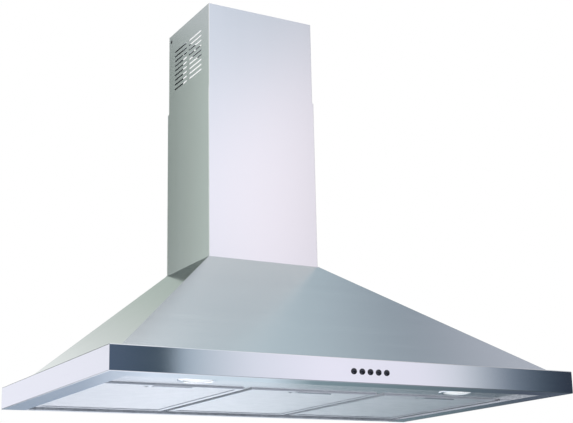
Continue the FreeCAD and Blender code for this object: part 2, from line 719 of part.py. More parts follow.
# --------------------------------------------------------------- the flues
def channel(body, half, front, back, reach, inside):
    """Plan of a flue: a channel open to the wall, with in-turned rear flanges."""
    plan = new_sketch(body, "plan", "XY_Plane")
    outline(plan, [
        (f"-{half}+{reach}", f"-{back}"), (f"-{half}", f"-{back}"), (f"-{half}", f"-{front}"),
        (half, f"-{front}"), (half, f"-{back}"), (f"{half}-{reach}", f"-{back}"),
        (f"{half}-{reach}", f"-{back}-{inside}"), (f"{half}-{inside}", f"-{back}-{inside}"),
        (f"{half}-{inside}", f"-{front}+{inside}"), (f"-{half}+{inside}", f"-{front}+{inside}"),
        (f"-{half}+{inside}", f"-{back}-{inside}"), (f"-{half}+{reach}", f"-{back}-{inside}"),
    ])
    return plan


def round_flue(body, half, front):
    corner, face = value(half), -value(front)
    round_edges(body, "bend", "z", [{"x": -corner, "y": face}, {"x": corner, "y": face}])


def lower_flue():
    body = new_body("lower_flue")
    plan = channel(body, "flue_width/2", "flue_depth", "0", "flue_return", "gauge")
    pad(body, plan, "lower_top-canopy_top-gauge")
    round_flue(body, "flue_width/2", "flue_depth")
    move(body, z="canopy_top+gauge")
    return body


def upper_flue():
    """The telescopic part, with slot vents in both sides."""
    body = new_body("upper_flue")
    half = "(flue_width/2-gauge-flue_gap)"
    front = "(flue_depth-gauge-flue_gap)"
    back = "(gauge+flue_gap)"
    plan = channel(body, half, front, back, "(flue_return-2)", "gauge")
    pad(body, plan, "upper_length")
    round_flue(body, half, front)
    holes = new_sketch(body, "bracket_holes", "YZ_Plane")
    circle(holes, "-flue_hole_back", "upper_length-flue_hole_drop", "flue_hole")
    pocket(body, holes)
    foot = "(upper_top-upper_length)"
    vents = new_sketch(body, "vents", "YZ_Plane")
    low = f"vent_top-{foot}-vent_height/2-vent_pitch*(vent_rows-1)"
    for column in ("vent_front", "vent_rear"):
        left = f"{column}-(vent_length-vent_height)/2"
        right = f"{column}+(vent_length-vent_height)/2"
        outline(vents, [
            (left, low), (right, low, "vent_height*0.52", "left"),
            (right, f"{low}+vent_height"), (left, f"{low}+vent_height", "vent_height*0.52", "left"),
        ])
    row = pocket(body, vents)
    repeat(body, row, "LinearPattern", "Z_Axis", "vent_rows", "vent_pitch*(vent_rows-1)")
    move(body, z=foot)
    return body


def flue_bracket():
    """The joggled wall bracket that the upper flue's sides are screwed to."""
    body = new_body("flue_bracket")
    plan = new_sketch(body, "plan", "XY_Plane")
    reach = "(flue_width/2-gauge*2-flue_gap)"
    half = [
        ("joggle_half", "0"), ("joggle_half", "-joggle_depth"), (reach, "-joggle_depth"),
        (reach, "-bracket_ear"), (f"({reach}-bracket_gauge)", "-bracket_ear"),
        (f"({reach}-bracket_gauge)", "-joggle_depth-bracket_gauge"),
        ("(joggle_half-bracket_gauge)", "-joggle_depth-bracket_gauge"),
        ("(joggle_half-bracket_gauge)", "-bracket_gauge"),
    ]
    mirrored = [(f"-{x}", y) for x, y in reversed(half)]
    outline(plan, half + mirrored)
    pad(body, plan, "bracket_height")
    wall_holes = new_sketch(body, "wall_holes", "XZ_Plane")
    for hand in "+-":
        circle(wall_holes, f"{hand}bracket_hole_x", "bracket_hole_z-bracket_foot", "bracket_hole")
    pocket(body, wall_holes)
    ear_holes = new_sketch(body, "ear_holes", "YZ_Plane")
    circle(ear_holes, "-flue_hole_back", "upper_top-flue_hole_drop-bracket_foot", "flue_hole/2")
    pocket(body, ear_holes)
    move(body, z="bracket_foot")
    return body


def flue_locators():
    """Two angles on the top plate that the lower flue slips over."""
    angles = []
    for name, hand in (("locator_right", "+"), ("locator_left", "-")):
        body = new_body(name)
        section = new_sketch(body, "section", "XZ_Plane", "locator_back")
        wall = "(flue_width/2-gauge)"
        foot = "(canopy_top+gauge)"
        outline(section, [
            (f"{hand}({wall}-locator_foot)", foot), (f"{hand}{wall}", foot),
            (f"{hand}{wall}", f"{foot}+locator_height"),
            (f"{hand}({wall}-locator_gauge)", f"{foot}+locator_height"),
            (f"{hand}({wall}-locator_gauge)", f"{foot}+locator_gauge"),
            (f"{hand}({wall}-locator_foot)", f"{foot}+locator_gauge"),
        ])
        pad(body, section, "locator_length")
        angles.append(body)
    return group("flue_locators", angles)


# --------------------------------------------------------------- the blower
# Scroll of three quarter arcs, each struck from a centre one step further on.
SCROLL = {
    "front": "(axis_y-scroll_start)",
    "low_y": "(axis_y+scroll_step)",
    "low_z": "(axis_z-scroll_start-scroll_step)",
    "rear": "(axis_y+scroll_start+scroll_step*3)",
    "rear_z": "(axis_z+scroll_step)",
    "lip": "(axis_y+scroll_lip)",
    "lip_z": "(axis_z+scroll_start)",
}


def scroll_path(grow):
    """The scroll's line, standing off from the air side by the given formula."""
    side = SCROLL
    return [
        (f"{side['lip']}-{grow}", "scroll_top"),
        (f"{side['lip']}-{grow}", f"{side['lip_z']}+{grow}"),
        ("axis_y", f"{side['lip_z']}+{grow}", f"scroll_start+{grow}", "left"),
        (f"{side['front']}-{grow}", "axis_z", f"scroll_start+scroll_step+{grow}", "left"),
        (side["low_y"], f"{side['low_z']}-{grow}", f"scroll_start+scroll_step*2+{grow}", "left"),
        (f"{side['rear']}+{grow}", side["rear_z"]),
        (f"{side['rear']}+{grow}", "scroll_top"),
    ]


def blower_scroll():
    """The wrap of the volute, rolled from one strip."""
    body = new_body("blower_scroll")
    section = new_sketch(body, "section", "YZ_Plane")
    outer = scroll_path("gauge")
    inner = []
    path = scroll_path("0")
    for index in range(len(path) - 1, -1, -1):
        corner = path[index][:2]
        arc = path[index - 1][2:] if index else ()
        inner.append(corner + ((arc[0], "right") if arc else ()))
    outline(section, outer + inner)
    pad(body, section, "scroll_half*2", "Symmetric")
    return body


def blower_side(name, hand):
    """A side plate of the volute with its round inlet."""
    body = new_body(name)
    start = "scroll_half" if hand == "+" else "-scroll_half-gauge"
    sheet = new_sketch(body, "sheet", "YZ_Plane", start)
    outline(sheet, scroll_path("gauge"))
    circle(sheet, "axis_y", "axis_z", "inlet_radius")
    pad(body, sheet, "gauge")
    return body


def inlet_rings():
    """Bell-mouth rings pressed round the two inlets."""
    rings = []
    for name, hand in (("inlet_ring_right", "+"), ("inlet_ring_left", "-")):
        body = new_body(name)
        profile = new_sketch(body, "profile", "XZ_Plane")
        plate = "(scroll_half+gauge)"
        outline(profile, [
            (f"{hand}{plate}", "inlet_radius"),
            (f"{hand}({plate}+bell_gauge)", "inlet_radius"),
            (f"{hand}({plate}+bell_knee)", "inlet_radius+bell_ease"),
            (f"{hand}({plate}+bell_reach)", "inlet_radius+bell_flare"),
            (f"{hand}({plate}+bell_reach)", "inlet_radius+bell_flare+bell_gauge"),
            (f"{hand}({plate}+bell_reach-bell_gauge*2)", "inlet_radius+bell_flare+bell_gauge"),
            (f"{hand}({plate}+bell_gauge)", "inlet_radius+bell_throat"),
            (f"{hand}({plate}+bell_gauge)", "inlet_radius+bell_flange"),
            (f"{hand}{plate}", "inlet_radius+bell_flange"),
        ])
        revolve(body, profile, "H_Axis")
        move(body, y="axis_y", z="axis_z")
        rings.append(body)
    return group("inlet_rings", rings)


def impeller():
    """Frame of the double-inlet wheel: a middle disc with its hub, and two end rings."""
    disc = new_body("wheel_disc")
    sheet = new_sketch(disc, "sheet", "YZ_Plane")
    circle(sheet, "0", "0", "wheel_radius-wheel_rim/2")
    circle(sheet, "0", "0", "shaft_radius")
    pad(disc, sheet, "wheel_disc", "Symmetric")
    hub = new_sketch(disc, "hub", "YZ_Plane", "-hub_left")
    circle(hub, "0", "0", "hub_radius")
    circle(hub, "0", "0", "shaft_radius")
    pad(disc, hub, "hub_left+hub_right")
    frame = [disc]
    for name, offset in (("wheel_ring_right", "wheel_half-wheel_ring"), ("wheel_ring_left", "-wheel_half")):
        body = new_body(name)
        ring = new_sketch(body, "ring", "YZ_Plane", offset)
        circle(ring, "0", "0", "wheel_radius")
        circle(ring, "0", "0", "wheel_radius-wheel_rim")
        pad(body, ring, "wheel_ring")
        frame.append(body)
    for body in frame:
        move(body, y="axis_y", z="axis_z")
    return group("impeller", frame)


def impeller_blades():
    """Two rows of forward-curved blades from disc to end rings, half a pitch apart."""
    rows = []
    inner = "sqrt(wheel_inner^2-blade_heel^2)"
    outer = "sqrt((wheel_radius-blade_inset)^2-blade_sweep^2)"
    for side, hand, turned in (("right", "", "0"), ("left", "-", "180/blades")):
        body = new_body(f"blades_{side}")
        blade = new_sketch(body, "blade", "YZ_Plane", f"{hand}wheel_disc/2")
        outline(blade, [
            ("blade_heel", inner, "blade_curve", "right"), ("blade_sweep", outer),
            ("blade_sweep-blade_gauge", f"{outer}+blade_gauge*0.1", "blade_curve+blade_gauge",
             "left"),
            ("blade_heel-blade_gauge*1.1", f"{inner}+blade_gauge*0.2"),
        ])
        strip = pad(body, blade, "wheel_half-wheel_ring-wheel_disc/2", back=side == "left")
        repeat(body, strip, "PolarPattern", "X_Axis", "blades")
        body.Placement.Rotation = FreeCAD.Rotation(Vector(1, 0, 0), value(turned))
        body.setExpression("Placement.Rotation.Angle", bound(turned))
        move(body, y="axis_y", z="axis_z")
        rows.append(body)
    return group("impeller_blades", rows)


def motor():
    """Shaded can with a stepped end bell and cooling slots."""
    body = new_body("motor")
    profile = new_sketch(body, "profile", "XZ_Plane")
    outline(profile, [
        ("motor_left", "shaft_radius+shaft_play"), ("motor_right", "shaft_radius+shaft_play"),
        ("motor_right", "boss_radius"), ("motor_right-boss_length", "boss_radius"),
        ("motor_right-bell_end", "motor_radius-shoulder"),
        ("motor_right-bell_end-shoulder", "motor_radius"), ("motor_left+bell_end", "motor_radius"),
        ("motor_left", "motor_radius-left_bevel"),
    ])
    revolve(body, profile, "H_Axis")
    slots = new_sketch(body, "slots", "XY_Plane", "motor_radius-motor_slot_depth")
    rectangle(slots, "motor_slot_left", "motor_slot_left+motor_slot_length",
              "-motor_slot_half", "motor_slot_half")
    cut = pocket(body, slots, "motor_slot_depth*2", "One side", forward=True)
    repeat(body, cut, "PolarPattern", "X_Axis", "motor_slots")
    move(body, y="axis_y", z="axis_z")
    return body


def motor_shaft():
    body = new_body("motor_shaft")
    disc = new_sketch(body, "section", "YZ_Plane", "shaft_left")
    circle(disc, "0", "0", "shaft_radius")
    pad(body, disc, "shaft_length")
    move(body, y="axis_y", z="axis_z")
    return body


def motor_bracket():
    """Three arms from the motor's end to the left cheek."""
    body = new_body("motor_bracket")
    plane = "motor_left-mount_gauge"
    ring = new_sketch(body, "ring", "YZ_Plane", plane)
    circle(ring, "0", "0", "mount_radius")
    circle(ring, "0", "0", "mount_hole")
    pad(body, ring, "mount_gauge")
    arm = new_sketch(body, "arm", "YZ_Plane", plane)
    rectangle(arm, "-arm_half", "arm_half", "arm_root", "inlet_radius+arm_lap")
    arm_pad = pad(body, arm, "mount_gauge")
    repeat(body, arm_pad, "PolarPattern", "X_Axis", "mount_arms")
    foot = new_sketch(body, "foot", "YZ_Plane", "-scroll_half")
    rectangle(foot, "-arm_half", "arm_half", "inlet_radius+foot_gap", "inlet_radius+arm_lap")
    foot_pad = pad(body, foot, f"scroll_half+{plane}")
    repeat(body, foot_pad, "PolarPattern", "X_Axis", "mount_arms")
    move(body, y="axis_y", z="axis_z")
    return body


def outlet_duct():
    """The duct from the scroll's rectangular outlet to the round hole above."""
    body = new_body("outlet_duct")
    middle = "((" + SCROLL["lip"] + "+" + SCROLL["rear"] + ")/2)"
    deep = "((" + SCROLL["rear"] + "-" + SCROLL["lip"] + ")/2)"
    for name, extra, kind in (("outer", "gauge", "AdditiveLoft"), ("inner", "0", "SubtractiveLoft")):
        square = new_sketch(body, f"{name}_square", "XY_Plane", "scroll_top")
        rectangle(square, f"-scroll_half-{extra}", f"scroll_half+{extra}",
                  f"{middle}-{deep}-{extra}", f"{middle}+{deep}+{extra}")
        mouth = new_sketch(body, f"{name}_mouth", "XY_Plane", "canopy_top")
        circle(mouth, "0", "collar_y", f"collar_radius-duct_step+{extra}")
        loft = body.newObject(f"PartDesign::{kind}", f"{name}_loft")
        loft.Profile = square
        loft.Sections = [mouth]
        loft.Ruled = True
    rim = new_sketch(body, "rim", "XY_Plane", "canopy_top-duct_rim")
    circle(rim, "0", "collar_y", "collar_radius+collar_rim")
    circle(rim, "0", "collar_y", "collar_radius-duct_rim_step")
    for x in "+-":
        for y in "+-":
            circle(rim, f"{x}collar_bolts*sqrt(0.5)", f"collar_y{y}collar_bolts*sqrt(0.5)",
                   "screw_radius")
    pad(body, rim, "duct_rim")
    return body


def duct_collar():
    """The spigot that the exhaust duct slips over, with the damper's stop ring."""
    body = new_body("duct_collar")
    profile = new_sketch(body, "profile", "XZ_Plane")
    inside = "(collar_radius-collar_wall)"
    foot = "(canopy_top+gauge)"
    outline(profile, [
        (inside, foot), ("collar_radius+collar_rim", foot),
        ("collar_radius+collar_rim", f"{foot}+collar_foot"),
        ("collar_radius", f"{foot}+collar_foot"),
        ("collar_radius", f"{foot}+collar_height"), (inside, f"{foot}+collar_height"),
        (inside, "damper_z-stop_top"), (f"{inside}-stop_width", "damper_z-stop_top"),
        (f"{inside}-stop_width", "damper_z-stop_edge"), (inside, "damper_z-stop_foot"),
    ])
    revolve(body, profile, "V_Axis")
    move(body, y="collar_y")
    holes = new_sketch(body, "screw_holes", "XY_Plane")
    for x in "+-":
        for y in "+-":
            circle(holes, f"{x}collar_bolts*sqrt(0.5)", f"{y}collar_bolts*sqrt(0.5)",
                   "screw_radius+screw_play")
    pocket(body, holes)
    return body


def blower_screws():
    """Four pan-head screws through collar, top plate and duct rim."""
    screws = []
    head = "(canopy_top+gauge+collar_foot)"
    tip = "(canopy_top-screw_reach)"
    for x, right in (("-", "left"), ("+", "right")):
        for y, rear in (("-", "front"), ("+", "rear")):
            body = new_body(f"blower_screw_{rear}_{right}")
            profile = new_sketch(body, "profile", "XZ_Plane")
            outline(profile, [
                ("0", tip), ("screw_radius", tip), ("screw_radius", head),
                ("screw_head", head), ("screw_head", f"{head}+screw_head_height/2"),
                ("screw_head/2", f"{head}+screw_head_height"), ("0", f"{head}+screw_head_height"),
            ])
            revolve(body, profile, "V_Axis")
            move(body, x=f"{x}collar_bolts*sqrt(0.5)", y=f"collar_y{y}collar_bolts*sqrt(0.5)")
            screws.append(body)
    return group("blower_screws", screws)


def damper_rod():
    """The rod across the collar; its ends meet the collar's wall."""
    rod = document.addObject("Part::Cylinder", "damper_rod")
    rod.Label = "damper_rod"
    half = "sqrt((collar_radius-collar_wall)^2-rod_radius^2)"
    rod.setExpression("Radius", bound("rod_radius"))
    rod.setExpression("Height", bound(f"2*{half}"))
    rod.Placement = FreeCAD.Placement(Vector(), FreeCAD.Rotation(Vector(0, 1, 0), 90))
    move(rod, x=f"-{half}", y="collar_y", z="damper_z")
    return rod


def damper_flap(name, hand, knuckles):
    """A half-moon flap with rolled knuckles round the rod."""
    body = new_body(name)
    low = "-rod_radius"
    plate = new_sketch(body, "plate", "XY_Plane", low)
    reach = "sqrt(flap_radius^2-flap_edge^2)"
    turn = "left" if hand == "+" else "right"
    tip = (f"flap_radius*sqrt(0.5)", f"{hand}flap_radius*sqrt(0.5)")
    outline(plate, [
        (f"-{reach}", f"{hand}flap_edge"), (reach, f"{hand}flap_edge", "flap_radius", turn),
        (*tip, "flap_radius", turn), (f"-{tip[0]}", tip[1], "flap_radius", turn),
    ])
    pad(body, plate, "flap_gauge")
    for place, (left, right) in enumerate(knuckles):
        tab = new_sketch(body, f"tab{place}", "XY_Plane", low)
        rectangle(tab, left, right, f"{hand}knuckle_root", f"{hand}flap_edge")
        pad(body, tab, "flap_gauge")
        barrel = new_sketch(body, f"barrel{place}", "YZ_Plane", left)
        circle(barrel, "0", "0", "knuckle_radius")
        circle(barrel, "0", "0", "rod_radius+knuckle_play")
        pad(body, barrel, f"{right}-({left})")
    move(body, y="collar_y", z="damper_z")
    return body


# --------------------------------------------------------------- the filters
def filter_frame(name, place):
    """Cassette frame: a channel round the mesh, a latch well and two rear lugs."""
    body = new_body(name)
    front, back = "-filter_front", "-filter_back"
    rim = new_sketch(body, "rim", "XY_Plane")
    rectangle(rim, "-filter_half", "filter_half", front, back)
    pad(body, rim, "filter_thick")
    half = "(filter_half-filter_border)"
    opening = new_sketch(body, "opening", "XY_Plane")
    outline(opening, [
        (f"-{half}", f"{back}-filter_border"), (f"-{half}", f"{front}+filter_border"),
        ("-well_half", f"{front}+filter_border"), ("-well_half", f"{front}+well_depth"),
        ("well_half", f"{front}+well_depth"), ("well_half", f"{front}+filter_border"),
        (half, f"{front}+filter_border"), (half, f"{back}-filter_border"),
    ])
    pocket(body, opening)
    groove = new_sketch(body, "groove", "XY_Plane", "gauge")
    outline(groove, mesh_plan())
    pocket(body, groove, "filter_thick-gauge*2", "One side", forward=True)
    slide = new_sketch(body, "slide", "XZ_Plane", "filter_front")
    rectangle(slide, "-latch_half-latch_play", "latch_half+latch_play",
              "latch_low-latch_play", "latch_low+latch_gauge+latch_play")
    pocket(body, slide, "well_depth-well_wall", "One side")
    window = new_sketch(body, "window", "XY_Plane")
    rectangle(window, "-bar_half-window_play", "bar_half+window_play",
              f"{front}+window_front", f"{front}+window_back")
    pocket(body, window, "latch_low+latch_play", "One side", forward=True)
    lugs = new_sketch(body, "lugs", "XY_Plane", "lug_low")
    for hand in "+-":
        rectangle(lugs, f"{hand}lug_inner", f"{hand}lug_outer", back, f"{back}+lug_reach")
    pad(body, lugs, "lug_gauge")
    move(body, x=f"filter_pitch*{place}", z="filter_bottom")
    return body


def mesh_plan():
    """Plan of the mesh pad, which goes round the latch well."""
    half = "(filter_half-gauge)"
    front, back = "(-filter_front+gauge)", "(-filter_back-gauge)"
    return [
        (f"-{half}", back), (f"-{half}", front), ("-well_half-gauge", front),
        ("-well_half-gauge", f"{front}+well_depth"), ("well_half+gauge", f"{front}+well_depth"),
        ("well_half+gauge", front), (half, front), (half, back),
    ]


def filter_mesh(name, place):
    """Layered mesh: two face sheets with a pleated core between them."""
    body = new_body(name)
    pack = new_sketch(body, "pack", "XY_Plane", "gauge")
    outline(pack, mesh_plan())
    pad(body, pack, "filter_thick-gauge*2")
    low, high = "gauge+pleat_skin", "filter_thick-gauge-pleat_skin"
    for kind, foot, apex, shift, count in (("up", low, high, "0", "pleats"),
                                           ("down", high, low, "pleat_pitch/2", "pleats-1")):
        pleat = new_sketch(body, f"pleat_{kind}", "XZ_Plane")
        start = f"(-filter_half+gauge+pleat_margin+{shift})"
        run = "(pleat_pitch-pleat_web)"
        outline(pleat, [(start, foot), (f"{start}+{run}", foot), (f"{start}+{run}/2", apex)])
        cut = pocket(body, pleat)
        repeat(body, cut, "LinearPattern", "X_Axis", count, f"pleat_pitch*({count}-1)")
    move(body, x=f"filter_pitch*{place}", z="filter_bottom")
    return body


def filter_latch(name, place):
    """Sprung slide with a pull bar below and a tongue in front."""
    body = new_body(name)
    front = "-filter_front"
    slab = new_sketch(body, "slab", "XY_Plane", "latch_low")
    rectangle(slab, "-latch_half", "latch_half", front, f"{front}+latch_depth")
    pad(body, slab, "latch_gauge")
    bar = new_sketch(body, "bar", "YZ_Plane")
    near, far = f"{front}+bar_front", f"{front}+bar_front+bar_gauge"
    outline(bar, [
        (near, "latch_low"), (near, "bar_bevel-bar_drop"), (f"{near}+bar_bevel", "-bar_drop"),
        (f"{far}-bar_bevel", "-bar_drop"), (far, "bar_bevel-bar_drop"), (far, "latch_low"),
    ])
    pad(body, bar, "bar_half*2", "Symmetric")
    tongue = new_sketch(body, "tongue", "YZ_Plane")
    top = "latch_low+latch_gauge"
    outline(tongue, [
        (front, "tongue_low"), (front, top), (f"{front}-tongue_reach+tongue_ramp", top),
        (f"{front}-tongue_reach", f"{top}-tongue_ramp/3"), (f"{front}-tongue_reach", "tongue_low"),
    ])
    pad(body, tongue, "tongue_half*2", "Symmetric")
    move(body, x=f"filter_pitch*{place}", z="filter_bottom")
    return body


# ----------------------------------------------------------------- the lamps
def lamp_piece(name, hand, points):
    """A turned lamp part, from its half profile in radius and height."""
    body = new_body(name)
    profile = new_sketch(body, "profile", "XZ_Plane")
    outline(profile, points)
    revolve(body, profile, "V_Axis")
    move(body, x=f"{hand}lamp_x", y="-lamp_y")
    return body


SLEEVE = "lamp_hole-ring_wall"
SEAT = "recess+seat_height"
CAP = "recess+housing_height"
RING = [
    ("lens_radius", "recess-ring_drop+0.6"), ("lens_radius+3", "recess-ring_drop"),
    ("lamp_ring-1", "recess-ring_drop+1"), ("lamp_ring", "recess"), ("lamp_hole", "recess"),
    ("lamp_hole", "recess+ring_height"), (SLEEVE, "recess+ring_height"), (SLEEVE, SEAT),
    ("lens_radius", SEAT),
]
LENS = [
    ("0", "recess-lens_drop", "lens_crown", "left"), ("lens_radius", "recess+0.2"),
    ("lens_radius", SEAT), ("0", SEAT),
]
HOUSING = [
    ("lens_radius+housing_wall", SEAT), (SLEEVE, SEAT), (SLEEVE, "recess+ring_height+2"),
    ("18", f"{CAP}-10"), ("housing_cap", CAP), ("0", CAP), ("0", f"{CAP}-housing_wall"),
    ("housing_cap-1", f"{CAP}-housing_wall"), ("16.5", f"{CAP}-11"),
    ("lens_radius+housing_wall", "recess+ring_height+1"),
]
BULB = [
    ("0", "recess+bulb_low"), ("3", "recess+bulb_low", "5", "left"),
    ("bulb_radius", "recess+bulb_low+4"), ("bulb_radius", f"{CAP}-16"),
    ("bulb_pinch", f"{CAP}-12"), ("bulb_pinch", f"{CAP}-housing_wall"),
    ("0", f"{CAP}-housing_wall"),
]


# ------------------------------------------------------- buttons and switch
def button(name, place):
    """A domed push button and the stem that works the switch."""
    body = new_body(name)
    profile = new_sketch(body, "profile", "XY_Plane")
    outline(profile, [
        ("0", "-depth-button_tip", "button_crown", "left"),
        ("button_radius-button_bevel", "-depth-button_rim-button_bevel"),
        ("button_radius", "-depth-button_rim"), ("button_radius", "-depth+button_skirt"),
        ("stem_radius", "-depth+button_skirt"), ("stem_radius", "-depth+stem_length"),
        ("0", "-depth+stem_length"),
    ])
    revolve(body, profile, "V_Axis")
    move(body, x=f"button_middle+button_pitch*{place}", z="button_z")
    return body


def switch_block():
    """The switch bank behind the fascia, bored for the five buttons."""
    body = new_body("switch_block")
    face = "(depth-gauge)"
    left, right = "button_middle-button_pitch*2", "button_middle+button_pitch*2"
    block = new_sketch(body, "block", "XZ_Plane", f"{face}-switch_depth")
    rectangle(block, f"{left}-switch_end", f"{right}+switch_end",
              "button_z-switch_half", "button_z+switch_half")
    pad(body, block, "switch_depth")
    ears = new_sketch(body, "ears", "XZ_Plane", f"{face}-ear_gauge")
    rectangle(ears, f"{left}-ear_end", f"{right}+ear_end", "button_z-ear_half", "button_z+ear_half")
    pad(body, ears, "ear_gauge")
    stud_holes = new_sketch(body, "stud_holes", "XZ_Plane")
    for hand in "+-":
        circle(stud_holes, f"button_middle{hand}(button_pitch*2+stud_end)", "button_z",
               "stud_radius+stud_play")
    pocket(body, stud_holes)
    for name, radius, depth in (("counterbores", "button_radius+bore_play", "bore_step"),
                                ("bores", "stem_radius+stem_play", "bore_depth")):
        bores = new_sketch(body, name, "XZ_Plane", face)
        for place in range(-2, 3):
            circle(bores, f"button_middle+button_pitch*{place}", "button_z", radius)
        pocket(body, bores, depth, "One side")
    tags = new_sketch(body, "terminals", "XZ_Plane", f"{face}-switch_depth")
    for place in range(-2, 3):
        middle = f"button_middle+button_pitch*{place}"
        rectangle(tags, f"{middle}-tag_gauge/2", f"{middle}+tag_gauge/2",
                  "button_z-tag_half", "button_z+tag_half")
    pad(body, tags, "tag_length", back=True)
    return body


def switch_nuts():
    """Nuts on the two weld studs of the fascia."""
    nuts = []
    for name, hand in (("switch_nut_right", "+"), ("switch_nut_left", "-")):
        body = new_body(name)
        plan = new_sketch(body, "plan", "XZ_Plane", "depth-gauge-ear_gauge")
        centre = f"(button_middle{hand}(button_pitch*2+stud_end))"
        corners = []
        for x, y in ((1, 0), (0.5, 1), (-0.5, 1), (-1, 0), (-0.5, -1), (0.5, -1)):
            corners.append((f"{centre}+({x}*nut_half*2/sqrt(3))", f"button_z+({y}*nut_half)"))
        outline(plan, corners)
        circle(plan, centre, "button_z", "stud_radius")
        pad(body, plan, "nut_height", back=True)
        nuts.append(body)
    return group("switch_nuts", nuts)


# --------------------------------------------------------------- electrics
def box_plan(sketch, inset="0"):
    """The junction box's rectangle on the wall, drawn in by the inset."""
    rectangle(sketch, f"box_left+{inset}", f"box_right-{inset}", f"box_low+{inset}",
              f"box_high-{inset}")


def junction_box():
    """An open box on the back panel with three cable entries on top."""
    body = new_body("junction_box")
    shell = new_sketch(body, "shell", "XZ_Plane", "gauge")
    box_plan(shell)
    pad(body, shell, "box_depth")
    hollow = new_sketch(body, "hollow", "XZ_Plane", "gauge+box_depth")
    box_plan(hollow, "box_wall")
    pocket(body, hollow, "box_depth-box_wall", "One side")
    entries = new_sketch(body, "entries", "XY_Plane", "box_high")
    for place in (-1, 0, 1):
        circle(entries, f"entry_x+entry_pitch*{place}", "entry_y", "entry_radius")
    pocket(body, entries, "box_wall*2.5", "Symmetric")
    return body


def junction_cover():
    """The box's cover, with a lip that plugs into it."""
    body = new_body("junction_cover")
    sheet = new_sketch(body, "sheet", "XZ_Plane", "gauge+box_depth")
    box_plan(sheet)
    pad(body, sheet, "box_wall")
    lip = new_sketch(body, "lip", "XZ_Plane", "gauge+box_depth-cover_lip")
    box_plan(lip, "box_wall")
    box_plan(lip, "box_wall*2")
    pad(body, lip, "cover_lip")
    return body


def capacitor():
    """A round can with a crimped rim, a sunk top and two tags."""
    body = new_body("capacitor")
    profile = new_sketch(body, "profile", "XZ_Plane")
    sunk = "(can_height-can_sink)"
    outline(profile, [
        ("0", "0"), ("can_radius-can_bevel", "0"), ("can_radius", "can_bevel"),
        ("can_radius", "can_height-can_crimp"), ("can_radius-can_crimp", "can_height"),
        ("can_top", "can_height"), ("can_top", sunk), ("0", sunk),
    ])
    revolve(body, profile, "V_Axis")
    tags = new_sketch(body, "tags", "XY_Plane", sunk)
    for hand in "+-":
        rectangle(tags, f"{hand}can_tag-tag_gauge/2", f"{hand}can_tag+tag_gauge/2",
                  "-tag_half", "tag_half")
    pad(body, tags, "can_tag_length")
    move(body, x="can_x", y="-gauge-can_back", z="can_z")
    return body


def capacitor_clip():
    """A spring clip round the capacitor, fixed to the back panel."""
    body = new_body("capacitor_clip")
    band = "(can_radius+clip_gauge)"
    plan = new_sketch(body, "plan", "XY_Plane", "clip_low")
    circle(plan, "0", "0", band)
    circle(plan, "0", "0", "can_radius")
    pad(body, plan, "clip_height")
    foot = new_sketch(body, "foot", "XY_Plane", "clip_low")
    rectangle(foot, f"-{band}", band, "can_back-clip_foot", "can_back")
    pad(body, foot, "clip_height")
    neck = new_sketch(body, "neck", "XY_Plane", "clip_low")
    rectangle(neck, "-clip_neck", "clip_neck", "can_radius+clip_gauge/2",
              "can_back-clip_foot+0.1")
    pad(body, neck, "clip_height")
    move(body, x="can_x", y="-gauge-can_back", z="can_z")
    return body


def cable_grommet():
    """A rubber ring that grips the edge of its hole in the top plate."""
    body = new_body("cable_grommet")
    profile = new_sketch(body, "profile", "XZ_Plane")
    low, high = "canopy_top", "(canopy_top+gauge)"
    outline(profile, [
        ("grommet_bore", f"{low}-grommet_lip"), ("grommet_rim-1", f"{low}-grommet_lip"),
        ("grommet_rim", low), ("grommet_hole", low), ("grommet_hole", high),
        ("grommet_rim", high), ("grommet_rim-1", f"{high}+grommet_lip"),
        ("grommet_bore", f"{high}+grommet_lip"),
    ])
    revolve(body, profile, "V_Axis")
    move(body, x="grommet_x", y="grommet_y")
    return body


# ----------------------------------------------------------------- assembly
pieces = [
    front_fascia(),
    side_skirt("left_skirt", "-"),
    side_skirt("right_skirt", "+"),
    back_panel(),
    canopy_front(),
    canopy_side("canopy_left", "-"),
    canopy_side("canopy_right", "+"),
    top_plate(),
    lamp_strip(),
    rear_ledge(),
    group("side_rails", [side_rail("rail_left", "-"), side_rail("rail_right", "+")]),
    crossbar("left_crossbar", "-"),
    crossbar("right_crossbar", "+"),
    lower_flue(),
    upper_flue(),
    flue_bracket(),
    flue_locators(),
    blower_scroll(),
    blower_side("left_blower_side", "-"),
    blower_side("right_blower_side", "+"),
    inlet_rings(),
    impeller(),
    impeller_blades(),
    motor(),
    motor_shaft(),
    motor_bracket(),
    outlet_duct(),
    duct_collar(),
    blower_screws(),
    damper_rod(),
    damper_flap("front_flap", "-", [
        ("-knuckle_outer-knuckle_length", "-knuckle_outer"),
        ("knuckle_inner", "knuckle_inner+knuckle_length"),
    ]),
    damper_flap("rear_flap", "+", [
        ("-knuckle_inner-knuckle_length", "-knuckle_inner"),
        ("knuckle_outer", "knuckle_outer+knuckle_length"),
    ]),
    switch_block(),
    switch_nuts(),
    junction_box(),
    junction_cover(),
    capacitor(),
    capacitor_clip(),
    cable_grommet(),
]
for place, side in ((-1, "left"), (0, "middle"), (1, "right")):
    pieces.append(filter_frame(f"{side}_filter_frame", place))
    pieces.append(filter_mesh(f"{side}_filter_mesh", place))
    pieces.append(filter_latch(f"{side}_filter_latch", place))
for place, work in enumerate(("stop", "slow", "medium", "fast", "lamp"), -2):
    pieces.append(button(f"{work}_button", place))
for side, hand in (("left", "-"), ("right", "+")):
    pieces.append(lamp_piece(f"{side}_lamp_ring", hand, RING))
    pieces.append(lamp_piece(f"{side}_lamp_lens", hand, LENS))
    pieces.append(lamp_piece(f"{side}_lamp_housing", hand, HOUSING))
bulbs = [lamp_piece("left_bulb", "-", BULB), lamp_piece("right_bulb", "+", BULB)]
pieces.append(group("lamp_bulbs", bulbs))

